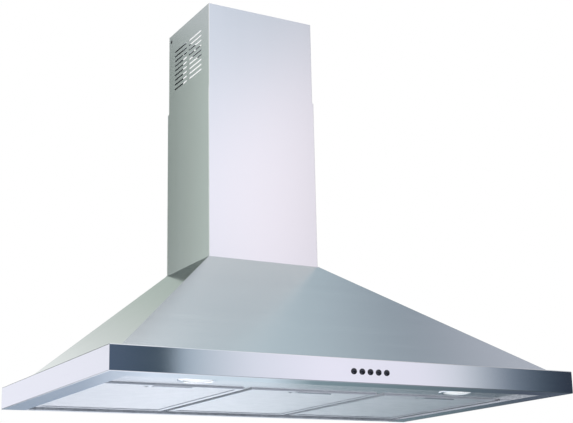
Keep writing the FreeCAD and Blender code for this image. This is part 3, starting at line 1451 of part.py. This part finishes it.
document.recompute()
for item in document.Objects:
    if "Invalid" in item.State or "Error" in item.State:
        raise RuntimeError(f"{item.Name} failed: {item.State}")
os.makedirs("parts", exist_ok=True)
for piece in pieces:
    shape = piece.Shape
    if shape.isNull() or not shape.isValid():
        raise RuntimeError(f"{piece.Label} has no valid shape")
    shape.exportStep(f"parts/{piece.Label}.step")
print(len(pieces), "pieces written")
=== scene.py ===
import math

import bmesh
import bpy
from mathutils import Matrix, Vector


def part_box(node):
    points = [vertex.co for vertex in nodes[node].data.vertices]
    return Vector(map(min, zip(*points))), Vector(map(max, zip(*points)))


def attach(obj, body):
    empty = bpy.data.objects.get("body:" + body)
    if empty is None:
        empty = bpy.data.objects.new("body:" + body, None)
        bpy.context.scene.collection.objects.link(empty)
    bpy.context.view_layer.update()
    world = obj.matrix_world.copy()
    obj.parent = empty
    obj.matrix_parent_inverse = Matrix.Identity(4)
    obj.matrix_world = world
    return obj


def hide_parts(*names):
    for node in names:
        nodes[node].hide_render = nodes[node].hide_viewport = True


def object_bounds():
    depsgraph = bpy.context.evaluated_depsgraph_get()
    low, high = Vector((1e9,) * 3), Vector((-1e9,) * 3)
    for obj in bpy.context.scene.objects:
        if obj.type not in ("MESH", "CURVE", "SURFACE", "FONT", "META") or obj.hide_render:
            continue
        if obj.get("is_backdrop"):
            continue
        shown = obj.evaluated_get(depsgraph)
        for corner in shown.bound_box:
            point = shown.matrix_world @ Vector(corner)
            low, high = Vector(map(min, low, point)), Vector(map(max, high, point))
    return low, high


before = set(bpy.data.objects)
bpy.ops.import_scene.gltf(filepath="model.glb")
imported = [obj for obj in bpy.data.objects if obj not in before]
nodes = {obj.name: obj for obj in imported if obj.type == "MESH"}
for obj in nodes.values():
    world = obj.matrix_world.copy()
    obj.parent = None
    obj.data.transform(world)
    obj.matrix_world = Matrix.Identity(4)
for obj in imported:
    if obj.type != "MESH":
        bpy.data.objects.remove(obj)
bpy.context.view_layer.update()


# ------------------------------------------------------------------ studio
# The hood hangs in a white studio, seen from low on its left. The camera's
# long lens is shifted so that the tall flue and the wide band both fit.
lens = bpy.data.cameras.new("camera")
lens.sensor_fit = "HORIZONTAL"
lens.sensor_width = 36
lens.lens = 75.76
lens.shift_x, lens.shift_y = -0.0515, 0.0288
camera = bpy.data.objects.new("camera", lens)
camera.matrix_world = (
    Matrix.Translation((-1.0852, -2.2262, -0.2506))
    @ Matrix.Rotation(math.radians(-30.70), 4, "Z")
    @ Matrix.Rotation(math.radians(104.56), 4, "X")
    @ Matrix.Rotation(math.radians(-1.52), 4, "Z")
)
bpy.context.collection.objects.link(camera)
bpy.context.scene.camera = camera
bpy.context.scene.view_settings.view_transform = "Standard"


class Signal:
    """A shader socket. Sums of signals and numbers add their own Math nodes."""

    def __init__(self, tree, socket=None):
        self.tree = tree
        self.socket = socket

    def node(self, kind, settings=(), inputs=(), outlet=0):
        """Add a node: its settings first, then the values or links of its sockets."""
        made = self.tree.nodes.new("ShaderNode" + kind)
        for name, value in dict(settings).items():
            if name != "stops":
                setattr(made, name, value)
                continue
            ramp = made.color_ramp
            ramp.elements[0].position, ramp.elements[1].position = value[0][0], value[-1][0]
            for place, colour in value[1:-1]:
                ramp.elements.new(place)
            for stop, (place, colour) in zip(ramp.elements, value):
                stop.color = (*colour, 1)
        for name, value in dict(inputs).items():
            if isinstance(value, Signal):
                self.tree.links.new(value.socket, made.inputs[name])
            else:
                made.inputs[name].default_value = value
        return Signal(self.tree, made.outputs[outlet] if made.outputs else None)

    def sum(self, operation, first, second):
        return self.node("Math", {"operation": operation}, {0: first, 1: second})

    def __add__(self, other):
        return self.sum("ADD", self, other)

    __radd__ = __add__

    def __sub__(self, other):
        return self.sum("SUBTRACT", self, other)

    def __rsub__(self, other):
        return self.sum("SUBTRACT", other, self)

    def __mul__(self, other):
        return self.sum("MULTIPLY", self, other)

    __rmul__ = __mul__

    def mix(self, first, second):
        """A colour between first and second, with this signal as the factor."""
        colours = {6: first, 7: second}
        for name, value in colours.items():
            if not isinstance(value, Signal):
                colours[name] = (*value, 1)
        return self.node("Mix", {"data_type": "RGBA"}, {0: self, **colours}, 2)

    def over(self, low, high):
        """This signal stretched so that low becomes 0 and high becomes 1."""
        return self.node("MapRange", {}, {"Value": self, "From Min": low, "From Max": high})

    def ramp(self, stops):
        """A colour that changes with this signal, from stops of (value, colour)."""
        first, last = stops[0][0], stops[-1][0]
        places = [((value - first) / (last - first), colour) for value, colour in stops]
        return self.node("ValToRGB", {"stops": places}, {0: self.over(first, last)})


def material(name, surface):
    """A material with the surface that surface(start) builds."""
    made = bpy.data.materials.new(name)
    made.use_nodes = True
    made.node_tree.nodes.clear()
    start = Signal(made.node_tree)
    start.node("OutputMaterial", {}, {"Surface": surface(start)})
    return made


def ray(start, first, *others):
    """1 for the named kinds of ray and 0 for all others."""
    made = start.node("LightPath", outlet=f"Is {first} Ray")
    for kind in others:
        made = made + start.node("LightPath", outlet=f"Is {kind} Ray")
    return made


def white_room(start):
    """White to the eye and in reflections, a soft grey light on everything else."""
    seen = ray(start, "Camera", "Glossy", "Transmission")
    light = start.node("Background", {}, {"Color": (1, 1, 1, 1), "Strength": 0.62})
    white = start.node("Background", {}, {"Color": (1, 1, 1, 1), "Strength": 1})
    return start.node("MixShader", {}, {0: seen, 1: light, 2: white})


world = bpy.data.worlds.new("white studio")
world.use_nodes = True
world.node_tree.nodes.clear()
sky = Signal(world.node_tree)
sky.node("OutputWorld", {}, {"Surface": white_room(sky)})
bpy.context.scene.world = world


LAMP_WIDTH = 2.4


def lamp(name, place, aim, power):
    """A soft lamp that lights paint and floor, and isn't seen in the metal."""
    data = bpy.data.lights.new(name, "AREA")
    data.shape, data.size, data.energy = "DISK", LAMP_WIDTH, power
    made = bpy.data.objects.new(name, data)
    turn = (Vector(aim) - Vector(place)).to_track_quat("-Z", "Y").to_matrix().to_4x4()
    made.matrix_world = Matrix.Translation(place) @ turn
    made.visible_glossy = False
    bpy.context.collection.objects.link(made)


lamp("key lamp", (-2.2, -2.8, 2.6), (0, -0.3, 0.3), 60)
lamp("fill lamp", (2.4, -2.6, 0.6), (0, -0.3, 0.2), 18)


def level(x, y, z):
    """Corners of a level sheet; x and y are ranges."""
    return [(x[0], y[0], z), (x[1], y[0], z), (x[1], y[1], z), (x[0], y[1], z)]


def upright(x, y, z):
    """Corners of an upright sheet across the room; x and z are ranges."""
    return [(x[0], y, z[0]), (x[1], y, z[0]), (x[1], y, z[1]), (x[0], y, z[1])]


def sheet(name, corners, surface):
    """A four-cornered stage sheet."""
    mesh = bpy.data.meshes.new(name)
    mesh.from_pydata(corners, [], [(0, 1, 2, 3)])
    made = bpy.data.objects.new(name, mesh)
    mesh.materials.append(material(name, surface))
    bpy.context.collection.objects.link(made)
    made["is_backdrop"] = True
    return made


def pale_floor(start):
    """Pale paint above; open to the eye from underneath, where the filters are seen."""
    paint = start.node("BsdfDiffuse", {}, {"Color": (0.86, 0.86, 0.87, 1)})
    under = start.node("NewGeometry", outlet="Backfacing") * ray(start, "Camera")
    return start.node("MixShader", {}, {0: under, 1: paint, 2: start.node("BsdfTransparent")})


FLOOR, FLOOR_REACH = -1.6, (-30, 30)
sheet("floor", level(FLOOR_REACH, FLOOR_REACH, FLOOR), pale_floor)


# What the steel mirrors: cards in front of the hood, behind it, above and
# below. Their colours run across the room, with stops in metres from its
# middle. These colours were fitted to tones measured in the photograph, and
# twelve of the band card's stops follow twelve places along its band. So this
# is no plain studio light.
BEFORE, BEHIND, ABOVE, BELOW = -5, 5, 3.2, -1.58
LOW_EDGE, MIDDLE_EDGE = 0.1, 1.15


def card(name, corners, surface):
    """A studio card that only the metal's reflections see."""
    made = sheet(name, corners, surface)
    made.visible_camera = made.visible_diffuse = False
    made.visible_transmission = made.visible_shadow = False


def room_axis(start, axis):
    place = start.node("TexCoord", outlet="Object")
    return start.node("SeparateXYZ", {}, {0: place}, axis)


def glow(start, colour):
    return start.node("Emission", {}, {"Color": colour, "Strength": 1})


def across(*stops):
    """Light whose colour runs from the room's left to its right."""
    return lambda start: glow(start, room_axis(start, 0).ramp(stops))


# dark, bright and dark again, for the polished band
card("band card", upright((-9, 12), BEFORE, (-1.5, MIDDLE_EDGE)), across(
    (-2.0, (0.56, 0.60, 0.66)), (0.2, (0.12, 0.16, 0.23)), (1.24, (0.09, 0.13, 0.20)),
    (1.57, (0.05, 0.08, 0.11)), (1.67, (0.42, 0.52, 0.62)), (1.85, (0.62, 0.70, 0.80)),
    (2.1, (0.84, 0.88, 1.00)), (2.6, (1.00, 0.99, 1.13)), (3.3, (0.93, 0.93, 1.06)),
    (3.55, (0.78, 0.82, 0.92)), (3.75, (0.50, 0.56, 0.64)), (4.0, (0.19, 0.24, 0.31)),
    (4.25, (0.07, 0.10, 0.14)), (4.5, (0.025, 0.035, 0.06)), (4.7, (0.03, 0.04, 0.06)),
    (5.4, (0.42, 0.46, 0.52))))


def flue_light(start):
    """Lavender white, cooler towards the top and dimmer to the right, for the flue."""
    aside = room_axis(start, 0)
    slanted = room_axis(start, 2) - aside * 0.9 + 2.29
    up = slanted.ramp((
        (1.2, (1.34, 1.23, 1.33)), (1.896, (1.38, 1.28, 1.38)), (2.496, (1.42, 1.31, 1.42)),
        (3.0, (0.78, 0.85, 0.95)), (3.6, (0.42, 0.52, 0.62))))
    up = aside.over(2.6, 4.0).mix(up, (0.36, 0.38, 0.42))
    return glow(start, aside.over(2.5, 1.8).mix(up, (0.95, 1.02, 1.15)))


card("flue card", upright((-2, 8), BEFORE, (MIDDLE_EDGE, 4.4)), flue_light)

# a light sky with one dark patch to the right, for the front slope
card("slope card", level((-4, 6), (-2, 4.9), ABOVE), across(
    (0.2, (0.56, 0.60, 0.62)), (0.92, (1.16, 1.23, 1.28)), (1.18, (0.55, 0.69, 0.75)),
    (1.6, (0.54, 0.66, 0.72)), (2.15, (0.44, 0.53, 0.59)), (2.65, (0.20, 0.25, 0.30)),
    (3.1, (0.54, 0.57, 0.65)), (3.6, (0.50, 0.53, 0.60))))

# grey-green light that ends in the dark, for the flue's left side
card("side card", upright((-6, -0.2), BEHIND, (MIDDLE_EDGE, 5)), across(
    (-3.4, (0.56, 0.66, 0.61)), (-2.9, (1.00, 1.14, 1.05)), (-2.58, (1.08, 1.23, 1.13)),
    (-2.50, (0.00, 0.01, 0.01)), (-2.15, (0.00, 0.01, 0.01)), (-1.95, (0.03, 0.05, 0.05)),
    (-0.9, (0.03, 0.05, 0.05))))

# lavender white for the left skirt
card("skirt card", upright((-9, -0.5), BEHIND, (LOW_EDGE, MIDDLE_EDGE)), across(
    (-4.1, (0.20, 0.24, 0.27)), (-3.7, (0.99, 1.00, 1.11)), (-1.0, (0.99, 1.00, 1.11))))

# grey-green, paler to the left, for the left slope
card("left slope card", upright((-0.2, 5), BEHIND, (LOW_EDGE, 6)), across(
    (0.7, (0.84, 0.88, 0.87)), (1.0, (0.62, 0.67, 0.65)), (1.35, (0.46, 0.53, 0.49)),
    (1.7, (0.37, 0.44, 0.41))))

# pale blue that darkens to the right, for the flat underside
card("low card", upright((-9, 9), BEHIND, (-1.57, LOW_EDGE)), across(
    (-1.2, (0.13, 0.17, 0.20)), (1.5, (0.34, 0.42, 0.54)), (1.95, (0.74, 0.84, 0.98)),
    (2.3, (0.68, 0.79, 0.90)), (2.8, (0.64, 0.76, 0.86)), (3.15, (0.22, 0.31, 0.35)),
    (4.3, (0.13, 0.18, 0.21)), (5.0, (0.08, 0.10, 0.14))))


def floor_light(start):
    """Bright at the back, for the filters; dark in front, where the band's fold sees it."""
    aside = room_axis(start, 0)
    far = aside.ramp((
        (0.0, (1.20, 1.25, 1.36)), (1.4, (1.70, 1.74, 1.86)), (1.9, (1.35, 1.46, 1.55)),
        (2.2, (0.80, 0.92, 0.99)), (2.55, (0.17, 0.25, 0.28)), (4.0, (0.16, 0.21, 0.24))))
    near = aside.ramp((
        (0.3, (1.00, 1.04, 1.16)), (0.9, (0.34, 0.40, 0.47)), (1.8, (0.05, 0.07, 0.09))))
    return glow(start, room_axis(start, 1).over(0.2, 2.4).mix(near, far))


card("floor card", level((-6, 9), (-4.9, 4.9), BELOW), floor_light)


# ---------------------------------------------------------- canopy slopes
# Three mitred sheets of 1 mm stainless steel make the pyramid. They are
# brushed level, folded under at the foot and welded along the hips.
def object_place(start, scale):
    """Object coordinates, stretched so that a pattern has its grain along one axis."""
    place = start.node("TexCoord", outlet="Object")
    return start.node("Mapping", {}, {"Vector": place, "Scale": scale})


def noise(start, scale, detail=3):
    place = object_place(start, scale)
    return start.node("TexNoise", {}, {"Vector": place, "Scale": 1, "Detail": detail})


STEEL = (0.80, 0.80, 0.81)
# the flues' inner faces: a dark painted shade, and their roughness
INSIDE_SHADE, INSIDE_ROUGHNESS = (0.13, 0.14, 0.145), 0.55
# stretch of the noise along and across the brushing, per metre
LINES, STREAKS = (6, 1600), (2, 60)


def brushed(name, along, roughness, contrast=1.0, shaded_inside=None):
    """Stainless sheet with fine lines and broad faint streaks along the named axes."""
    grain, broad = ([pair[0] if axis in along else pair[1] for axis in "xyz"]
                    for pair in (LINES, STREAKS))

    def surface(start):
        lines = noise(start, grain)
        streaks = noise(start, broad, 2)
        dull = tuple((1 - 0.07 * contrast) * part for part in STEEL)
        colour = (lines * 0.5 + streaks * 0.5).over(0.3, 0.7).mix(dull, STEEL)
        play = lines * (0.08 * contrast) + streaks * (0.06 * contrast)
        rough = play + (roughness - 0.07 * contrast)
        bump = start.node("Bump", {}, {
            "Strength": 0.06 * contrast, "Distance": 0.0003, "Height": lines})
        # the inner faces picked out here are darkened: painted shade
        if shaded_inside:
            hidden = shaded_inside(start)
            colour = hidden.mix(colour, INSIDE_SHADE)
            rough = hidden * (INSIDE_ROUGHNESS - rough) + rough
        return start.node("BsdfPrincipled", {}, {
            "Base Color": colour, "Metallic": 1, "Roughness": rough, "Normal": bump})
    return material(name, surface)


def dress(finish, *names):
    for name in names:
        for slot in nodes[name].material_slots:
            slot.material = finish


level_steel = brushed("brushed steel slopes", "xy", 0.23, 0.6)
side_steel = brushed("brushed steel side slopes", "xy", 0.10, 0.5)
dress(level_steel, "canopy_front")
dress(side_steel, "canopy_left", "canopy_right")


# --------------------------------------------- band, back and top plate
# The band is folded from stainless strip with a ledge on top and a flange
# below, polished finer than the slopes. The back and top plate are plain.
band_steel = brushed("polished steel band", "x", 0.07, 0.4)
skirt_steel = brushed("polished steel skirts", "y", 0.16, 0.5)
dress(band_steel, "front_fascia")
dress(skirt_steel, "left_skirt", "right_skirt")
dress(level_steel, "top_plate")


def galvanised(start):
    """Zinc spangle: flat grains some 12 mm wide, each of its own grey."""
    place = object_place(start, (85, 85, 85))
    wander = start.node("TexNoise", {}, {"Vector": place, "Scale": 1.6, "Detail": 2}, "Color")
    bent = start.node("VectorMath", {"operation": "ADD"}, {0: place, 1: wander})
    grain = start.node("TexVoronoi", {}, {"Vector": bent, "Scale": 1}, "Color")
    shade = start.node("SeparateColor", {}, {0: grain}, 0)
    fine = noise(start, (700, 700, 700))
    colour = (shade * 0.8 + fine * 0.2).mix((0.50, 0.52, 0.54), (0.66, 0.68, 0.70))
    rough = shade * 0.16 + fine * 0.08 + 0.30
    bump = start.node("Bump", {}, {"Strength": 0.05, "Distance": 0.0004, "Height": shade + fine})
    return start.node("BsdfPrincipled", {}, {
        "Base Color": colour, "Metallic": 1, "Roughness": rough, "Normal": bump})


zinc = material("galvanised steel", galvanised)
dress(zinc, "back_panel")


# ------------------------------------------------------------------- flue
# Two channels of stainless steel, brushed upright. The upper one slides in
# the lower and has rows of vent slots; a wall bracket, coloured near black as painted shade, holds
# its top.
def inside(half, front, back):
    """1 on a channel's inner faces: within half of the middle, and from front to back."""
    def hidden(start):
        place = start.node("TexCoord", outlet="Object")
        aside, depth = (start.node("SeparateXYZ", {}, {0: place}, axis) for axis in (0, 1))
        within = start.sum("LESS_THAN", start.sum("ABSOLUTE", aside, 0), half)
        behind = start.sum("GREATER_THAN", depth, front)
        return within * behind * start.sum("LESS_THAN", depth, back)
    return hidden


# The limits lie in the middle of the sheet. The inner faces carry a dark
# painted shade, which shows through the vents and from behind.
for channel, shaded_inside in (("lower_flue", inside(0.1195, -0.1995, -0.0005)),
                           ("upper_flue", inside(0.1177, -0.1977, -0.0022))):
    dress(brushed("brushed steel " + channel, "z", 0.22, 0.3, shaded_inside), channel)
dress(zinc, "flue_locators")


# the bracket's near-black colour is painted shade, for the dark seen through the vents
def shade_darkened(start):
    speckle = noise(start, (900, 900, 900), 2)
    return start.node("BsdfPrincipled", {}, {
        "Base Color": speckle.mix((0.035, 0.037, 0.04), (0.065, 0.068, 0.07)),
        "Roughness": speckle * 0.15 + 0.50})


dress(material("phosphated steel", shade_darkened), "flue_bracket")


# -------------------------------------------------------------- underside
# A stainless strip in front of the filters carries the lamps; side rails,
# crossbars and a rear ledge, folded from the same sheet, hold the filters.
strip_steel = brushed("brushed steel strip", "x", 0.24)
dress(strip_steel, "lamp_strip", "rear_ledge")
rail_steel = brushed("brushed steel rails", "y", 0.24)
dress(rail_steel, "side_rails", "left_crossbar", "right_crossbar")


# ------------------------------------------------------------------ lamps
# Two round halogen lamps clip into the strip: a plated ring, a frosted
# domed lens with a faint painted glow, and above them a pressed reflector with a small capsule
# bulb.
def plated(start):
    wear = noise(start, (220, 220, 220), 4)
    rough = wear * 0.10 + 0.07
    colour = wear.over(0.3, 0.7).mix((0.74, 0.75, 0.77), (0.82, 0.83, 0.85))
    return start.node("BsdfPrincipled", {}, {
        "Base Color": colour, "Metallic": 1, "Roughness": rough})


def frosted(start):
    grain = noise(start, (900, 900, 900), 2)
    bump = start.node("Bump", {}, {"Strength": 0.25, "Distance": 0.0006, "Height": grain})
    # the faint emission is a painted glow that brightens the lens
    return start.node("BsdfPrincipled", {}, {
        "Base Color": grain.mix((0.90, 0.93, 0.94), (0.97, 0.98, 0.99)),
        "Roughness": grain * 0.12 + 0.22, "Transmission Weight": 0.25, "IOR": 1.46,
        "Emission Color": (0.92, 0.96, 1.0, 1), "Emission Strength": 0.2, "Normal": bump})


def pressed_reflector(start):
    dimple = start.node("TexVoronoi", {}, {
        "Vector": object_place(start, (240, 240, 240)), "Scale": 1})
    bump = start.node("Bump", {}, {"Strength": 0.3, "Distance": 0.0008, "Height": dimple})
    return start.node("BsdfPrincipled", {}, {
        "Base Color": dimple.mix((0.78, 0.79, 0.80), (0.90, 0.90, 0.91)), "Metallic": 1,
        "Roughness": dimple * 0.08 + 0.16, "Normal": bump})


def clear_bulb(start):
    haze = noise(start, (300, 300, 300), 2)
    return start.node("BsdfPrincipled", {}, {
        "Base Color": haze.mix((0.95, 0.96, 0.97), (1.0, 1.0, 1.0)),
        "Roughness": haze * 0.06 + 0.02, "Transmission Weight": 1, "IOR": 1.47})


plated_metal = material("plated lamp ring", plated)
dress(plated_metal, "left_lamp_ring", "right_lamp_ring")
dress(material("frosted lens", frosted), "left_lamp_lens", "right_lamp_lens")
dress(material("pressed reflector", pressed_reflector), "left_lamp_housing", "right_lamp_housing")
dress(material("capsule bulb", clear_bulb), "lamp_bulbs")


# ---------------------------------------------------------- grease filters
# Each cassette is an aluminium frame round expanded mesh, with two lugs at
# the back and a sprung latch at the front that is pulled to let it down.
def satin_aluminium(start):
    drawn = noise(start, (12, 700, 700))
    colour = drawn.over(0.3, 0.7).mix((0.72, 0.74, 0.76), (0.82, 0.83, 0.85))
    bump = start.node("Bump", {}, {"Strength": 0.05, "Distance": 0.0003, "Height": drawn})
    return start.node("BsdfPrincipled", {}, {
        "Base Color": colour, "Metallic": 1, "Roughness": drawn * 0.10 + 0.28, "Normal": bump})


def mesh_aluminium(start):
    patch = noise(start, (40, 40, 40), 2)
    return start.node("BsdfPrincipled", {}, {
        "Base Color": patch.mix((0.70, 0.72, 0.74), (0.84, 0.85, 0.87)), "Metallic": 1,
        "Roughness": patch * 0.12 + 0.26})


aluminium = material("satin aluminium", satin_aluminium)
expanded = material("expanded aluminium", mesh_aluminium)


def lattice_tree(name, layers):
    """Nodes that lay twisted strands in diamonds, as sheared and drawn from foil."""
    tree = bpy.data.node_groups.new(name, "GeometryNodeTree")
    tree.interface.new_socket("Geometry", in_out="OUTPUT", socket_type="NodeSocketGeometry")
    for title in ("Middle", "Across", "Front", "Back", "Well half", "Well back", "Strand", "Foil"):
        tree.interface.new_socket(title, in_out="INPUT", socket_type="NodeSocketFloat")
    tree.interface.new_socket("Metal", in_out="INPUT", socket_type="NodeSocketMaterial")
    given = tree.nodes.new("NodeGroupInput").outputs

    def add(kind, settings=(), inputs=(), outlet=0):
        made = tree.nodes.new(kind)
        for key, value in dict(settings).items():
            setattr(made, key, value)
        for key, value in dict(inputs).items():
            if isinstance(value, bpy.types.NodeSocket):
                tree.links.new(value, made.inputs[key])
            else:
                made.inputs[key].default_value = value
        return made.outputs[outlet]

    def sum_of(operation, first, second=0.0):
        return add("ShaderNodeMath", {"operation": operation}, {0: first, 1: second})

    spread = sum_of("SUBTRACT", given["Back"], given["Front"])
    centre = sum_of("MULTIPLY", sum_of("ADD", given["Back"], given["Front"]), 0.5)
    sheets = add("GeometryNodeJoinGeometry")
    for height, wide, long, twist in layers:
        columns = sum_of("FLOOR", sum_of("DIVIDE", given["Across"], wide))
        rows = sum_of("FLOOR", sum_of("DIVIDE", spread, long))
        step_x = sum_of("DIVIDE", given["Across"], columns)
        step_y = sum_of("DIVIDE", spread, rows)
        grid = add("GeometryNodeMeshGrid", {}, {
            "Size X": sum_of("SUBTRACT", given["Across"], step_x),
            "Size Y": sum_of("SUBTRACT", spread, step_y),
            "Vertices X": columns, "Vertices Y": rows})
        offset = add("ShaderNodeCombineXYZ", {}, {0: given["Middle"], 1: centre, 2: height})
        placed = add("GeometryNodeSetPosition", {}, {"Geometry": grid, "Offset": offset})
        spot = add("GeometryNodeInputPosition")
        apart = tree.nodes.new("ShaderNodeSeparateXYZ")
        tree.links.new(spot, apart.inputs[0])
        aside = sum_of("ABSOLUTE", sum_of("SUBTRACT", apart.outputs[0], given["Middle"]))
        in_well = sum_of("MULTIPLY", sum_of("LESS_THAN", aside, given["Well half"]),
                         sum_of("LESS_THAN", apart.outputs[1], given["Well back"]))
        kept = add("GeometryNodeDeleteGeometry", {"domain": "POINT"}, {
            "Geometry": placed, "Selection": in_well})
        reach = sum_of("SQRT", sum_of("ADD", sum_of("MULTIPLY", step_x, step_x),
                                      sum_of("MULTIPLY", step_y, step_y)))
        size = add("ShaderNodeCombineXYZ", {}, {0: reach, 1: given["Strand"], 2: given["Foil"]})
        strand = add("GeometryNodeMeshCube", {}, {"Size": size})
        cross = add("GeometryNodeJoinGeometry")
        slant = sum_of("ARCTAN2", step_y, step_x)
        for sign in (1, -1):
            tipped = add("GeometryNodeTransform", {}, {
                "Geometry": strand, "Rotation": (twist * sign, 0, 0)})
            turn = add("ShaderNodeCombineXYZ", {}, {2: sum_of("MULTIPLY", slant, sign)})
            tree.links.new(add("GeometryNodeTransform", {}, {
                "Geometry": tipped, "Rotation": turn}), cross.node.inputs[0])
        tree.links.new(add("GeometryNodeInstanceOnPoints", {}, {
            "Points": kept, "Instance": cross}), sheets.node.inputs[0])
    whole = add("GeometryNodeRealizeInstances", {}, {"Geometry": sheets})
    dressed = add("GeometryNodeSetMaterial", {}, {"Geometry": whole, "Material": given["Metal"]})
    tree.links.new(dressed, tree.nodes.new("NodeGroupOutput").inputs[0])
    return tree


def grown(name, tree, inputs):
    """The mesh that a tree of geometry nodes makes, as a plain object."""
    seed = bpy.data.objects.new(name, bpy.data.meshes.new(name + " seed"))
    bpy.context.collection.objects.link(seed)
    modifier = seed.modifiers.new("nodes", "NODES")
    modifier.node_group = tree
    for item in tree.interface.items_tree:
        if item.name in inputs:
            modifier[item.identifier] = inputs[item.name]
    seed.update_tag()
    ready = seed.evaluated_get(bpy.context.evaluated_depsgraph_get())
    mesh = bpy.data.meshes.new_from_object(ready)
    seed.modifiers.clear()
    seed.data = mesh
    return seed


def joined(name, parts):
    """One object from several, their meshes merged in place."""
    with bpy.context.temp_override(active_object=parts[0], selected_editable_objects=parts):
        bpy.ops.object.join()
    parts[0].name = parts[0].data.name = name
    return parts[0]


# height of each layer, diamond across and along, and the twist of its strands
LATTICE = lattice_tree("expanded foil", (
    (0.0055, 0.010, 0.0052, 0.10), (0.0113, 0.014, 0.0075, -0.5)))
STRAND, STRAND_FOIL = 0.0021, 0.0004
FILTER_PITCH = 0.272
# the well that the latch sits in, cut from the front of the lattice and the core
WELL_HALF, LATTICE_WELL, CORE_WELL = 0.047, 0.028, 0.026
CORE_FOIL, FOLD_PITCH = 0.0003, 0.0077
CORE_LOW, CORE_HIGH = 0.0066, 0.0106
for place, side in zip((-FILTER_PITCH, 0, FILTER_PITCH), ("left", "middle", "right")):
    low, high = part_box(f"{side}_filter_mesh")
    lattice = grown(f"{side} lattice", LATTICE, {
        "Middle": place, "Across": high.x - low.x, "Front": low.y, "Back": high.y,
        "Well half": WELL_HALF, "Well back": low.y + LATTICE_WELL, "Strand": STRAND,
        "Foil": STRAND_FOIL, "Metal": expanded})
    core = bmesh.new()
    folds = int((high.x - low.x) / FOLD_PITCH)
    edges = []
    for fold in range(folds + 1):
        fold_x = low.x + fold * (high.x - low.x) / folds
        height = CORE_LOW if fold % 2 else CORE_HIGH
        front = low.y + (CORE_WELL if abs(fold_x - place) < WELL_HALF else 0)
        edges.append([core.verts.new(spot) for spot in (
            (fold_x, front, height), (fold_x, high.y, height),
            (fold_x, high.y, height + CORE_FOIL), (fold_x, front, height + CORE_FOIL))])
    for first, second in zip(edges, edges[1:]):
        for corner in range(4):
            after = (corner + 1) % 4
            core.faces.new((first[corner], first[after], second[after], second[corner]))
    core.faces.new(edges[0])
    core.faces.new(edges[-1])
    bmesh.ops.recalc_face_normals(core, faces=core.faces)
    mesh = bpy.data.meshes.new("core")
    core.to_mesh(mesh)
    mesh.materials.append(expanded)
    pleats = bpy.data.objects.new("core", mesh)
    bpy.context.collection.objects.link(pleats)
    piece = joined(f"{side}_filter_foil", [lattice, pleats])
    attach(piece, f"{side}_filter")
    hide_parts(f"{side}_filter_mesh")
    dress(aluminium, f"{side}_filter_frame")
    dress(plated_metal, f"{side}_filter_latch")


# ----------------------------------------------------------------- switch
# Five domed chrome buttons stand in the band, their near-black colour a painted
# dark reflection, in a moulded switch bank that two nuts hold to studs behind the steel.
def chrome_painted_dark_reflection(start):
    wear = noise(start, (500, 500, 500), 2)
    # the chrome's near-black base colour is a painted dark reflection
    return start.node("BsdfPrincipled", {}, {
        "Base Color": wear.mix((0.035, 0.037, 0.045), (0.06, 0.06, 0.07)), "Metallic": 1,
        "Roughness": wear * 0.05 + 0.08})


dress(material("chrome with painted dark reflection", chrome_painted_dark_reflection),
      *(f"{button}_button" for button in ("stop", "slow", "medium", "fast", "lamp")))


def moulded(name, dark, light, roughness):
    """Moulded plastic with the fine spark texture of its tool."""
    def surface(start):
        spark = noise(start, (1400, 1400, 1400), 2)
        cloud = noise(start, (30, 30, 30), 2)
        bump = start.node("Bump", {}, {"Strength": 0.15, "Distance": 0.0002, "Height": spark})
        return start.node("BsdfPrincipled", {}, {
            "Base Color": cloud.mix(dark, light), "Roughness": spark * 0.15 + roughness,
            "Normal": bump})
    return material(name, surface)


black_plastic = moulded("black plastic", (0.018, 0.018, 0.020), (0.030, 0.030, 0.032), 0.40)
dress(black_plastic, "switch_block")
bright_steel = material("bright steel", plated)
dress(bright_steel, "switch_nuts")


# ----------------------------------------------------------------- blower
# A double-inlet fan of galvanised sheet: scroll, two cheeks with inlet
# rings, a bladed wheel on the motor's shaft, and a three-armed bracket.
dress(zinc, "blower_scroll", "left_blower_side", "right_blower_side", "inlet_rings")
dress(zinc, "impeller", "impeller_blades", "motor_bracket")
dress(bright_steel, "motor_shaft", "blower_screws", "damper_rod")


def enamel(start):
    peel = noise(start, (260, 260, 260), 2)
    bump = start.node("Bump", {}, {"Strength": 0.1, "Distance": 0.0004, "Height": peel})
    return start.node("BsdfPrincipled", {}, {
        "Base Color": peel.mix((0.045, 0.05, 0.055), (0.075, 0.08, 0.085)),
        "Roughness": peel * 0.15 + 0.35, "Normal": bump})


dress(material("motor enamel", enamel), "motor")


# ------------------------------------------------------------- duct, damper
# A moulded square-to-round duct stands on the scroll, and a collar on the
# top plate takes the pipe; two flaps on a rod close it to draughts.
grey_plastic = moulded("grey plastic", (0.30, 0.31, 0.32), (0.36, 0.37, 0.38), 0.42)
dress(grey_plastic, "outlet_duct", "duct_collar")
dress(black_plastic, "front_flap", "rear_flap")


# ------------------------------------------------------------- electrics
# A plastic terminal box on the back panel, the motor's run capacitor in
# its clip, and a rubber grommet where the supply cable comes in.
dress(grey_plastic, "junction_box", "junction_cover")
dress(zinc, "capacitor_clip")
dress(material("capacitor can", satin_aluminium), "capacitor")
dress(moulded("rubber", (0.012, 0.012, 0.012), (0.022, 0.022, 0.022), 0.55), "cable_grommet")


# -------------------------------------------------------------------- size
low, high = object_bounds()
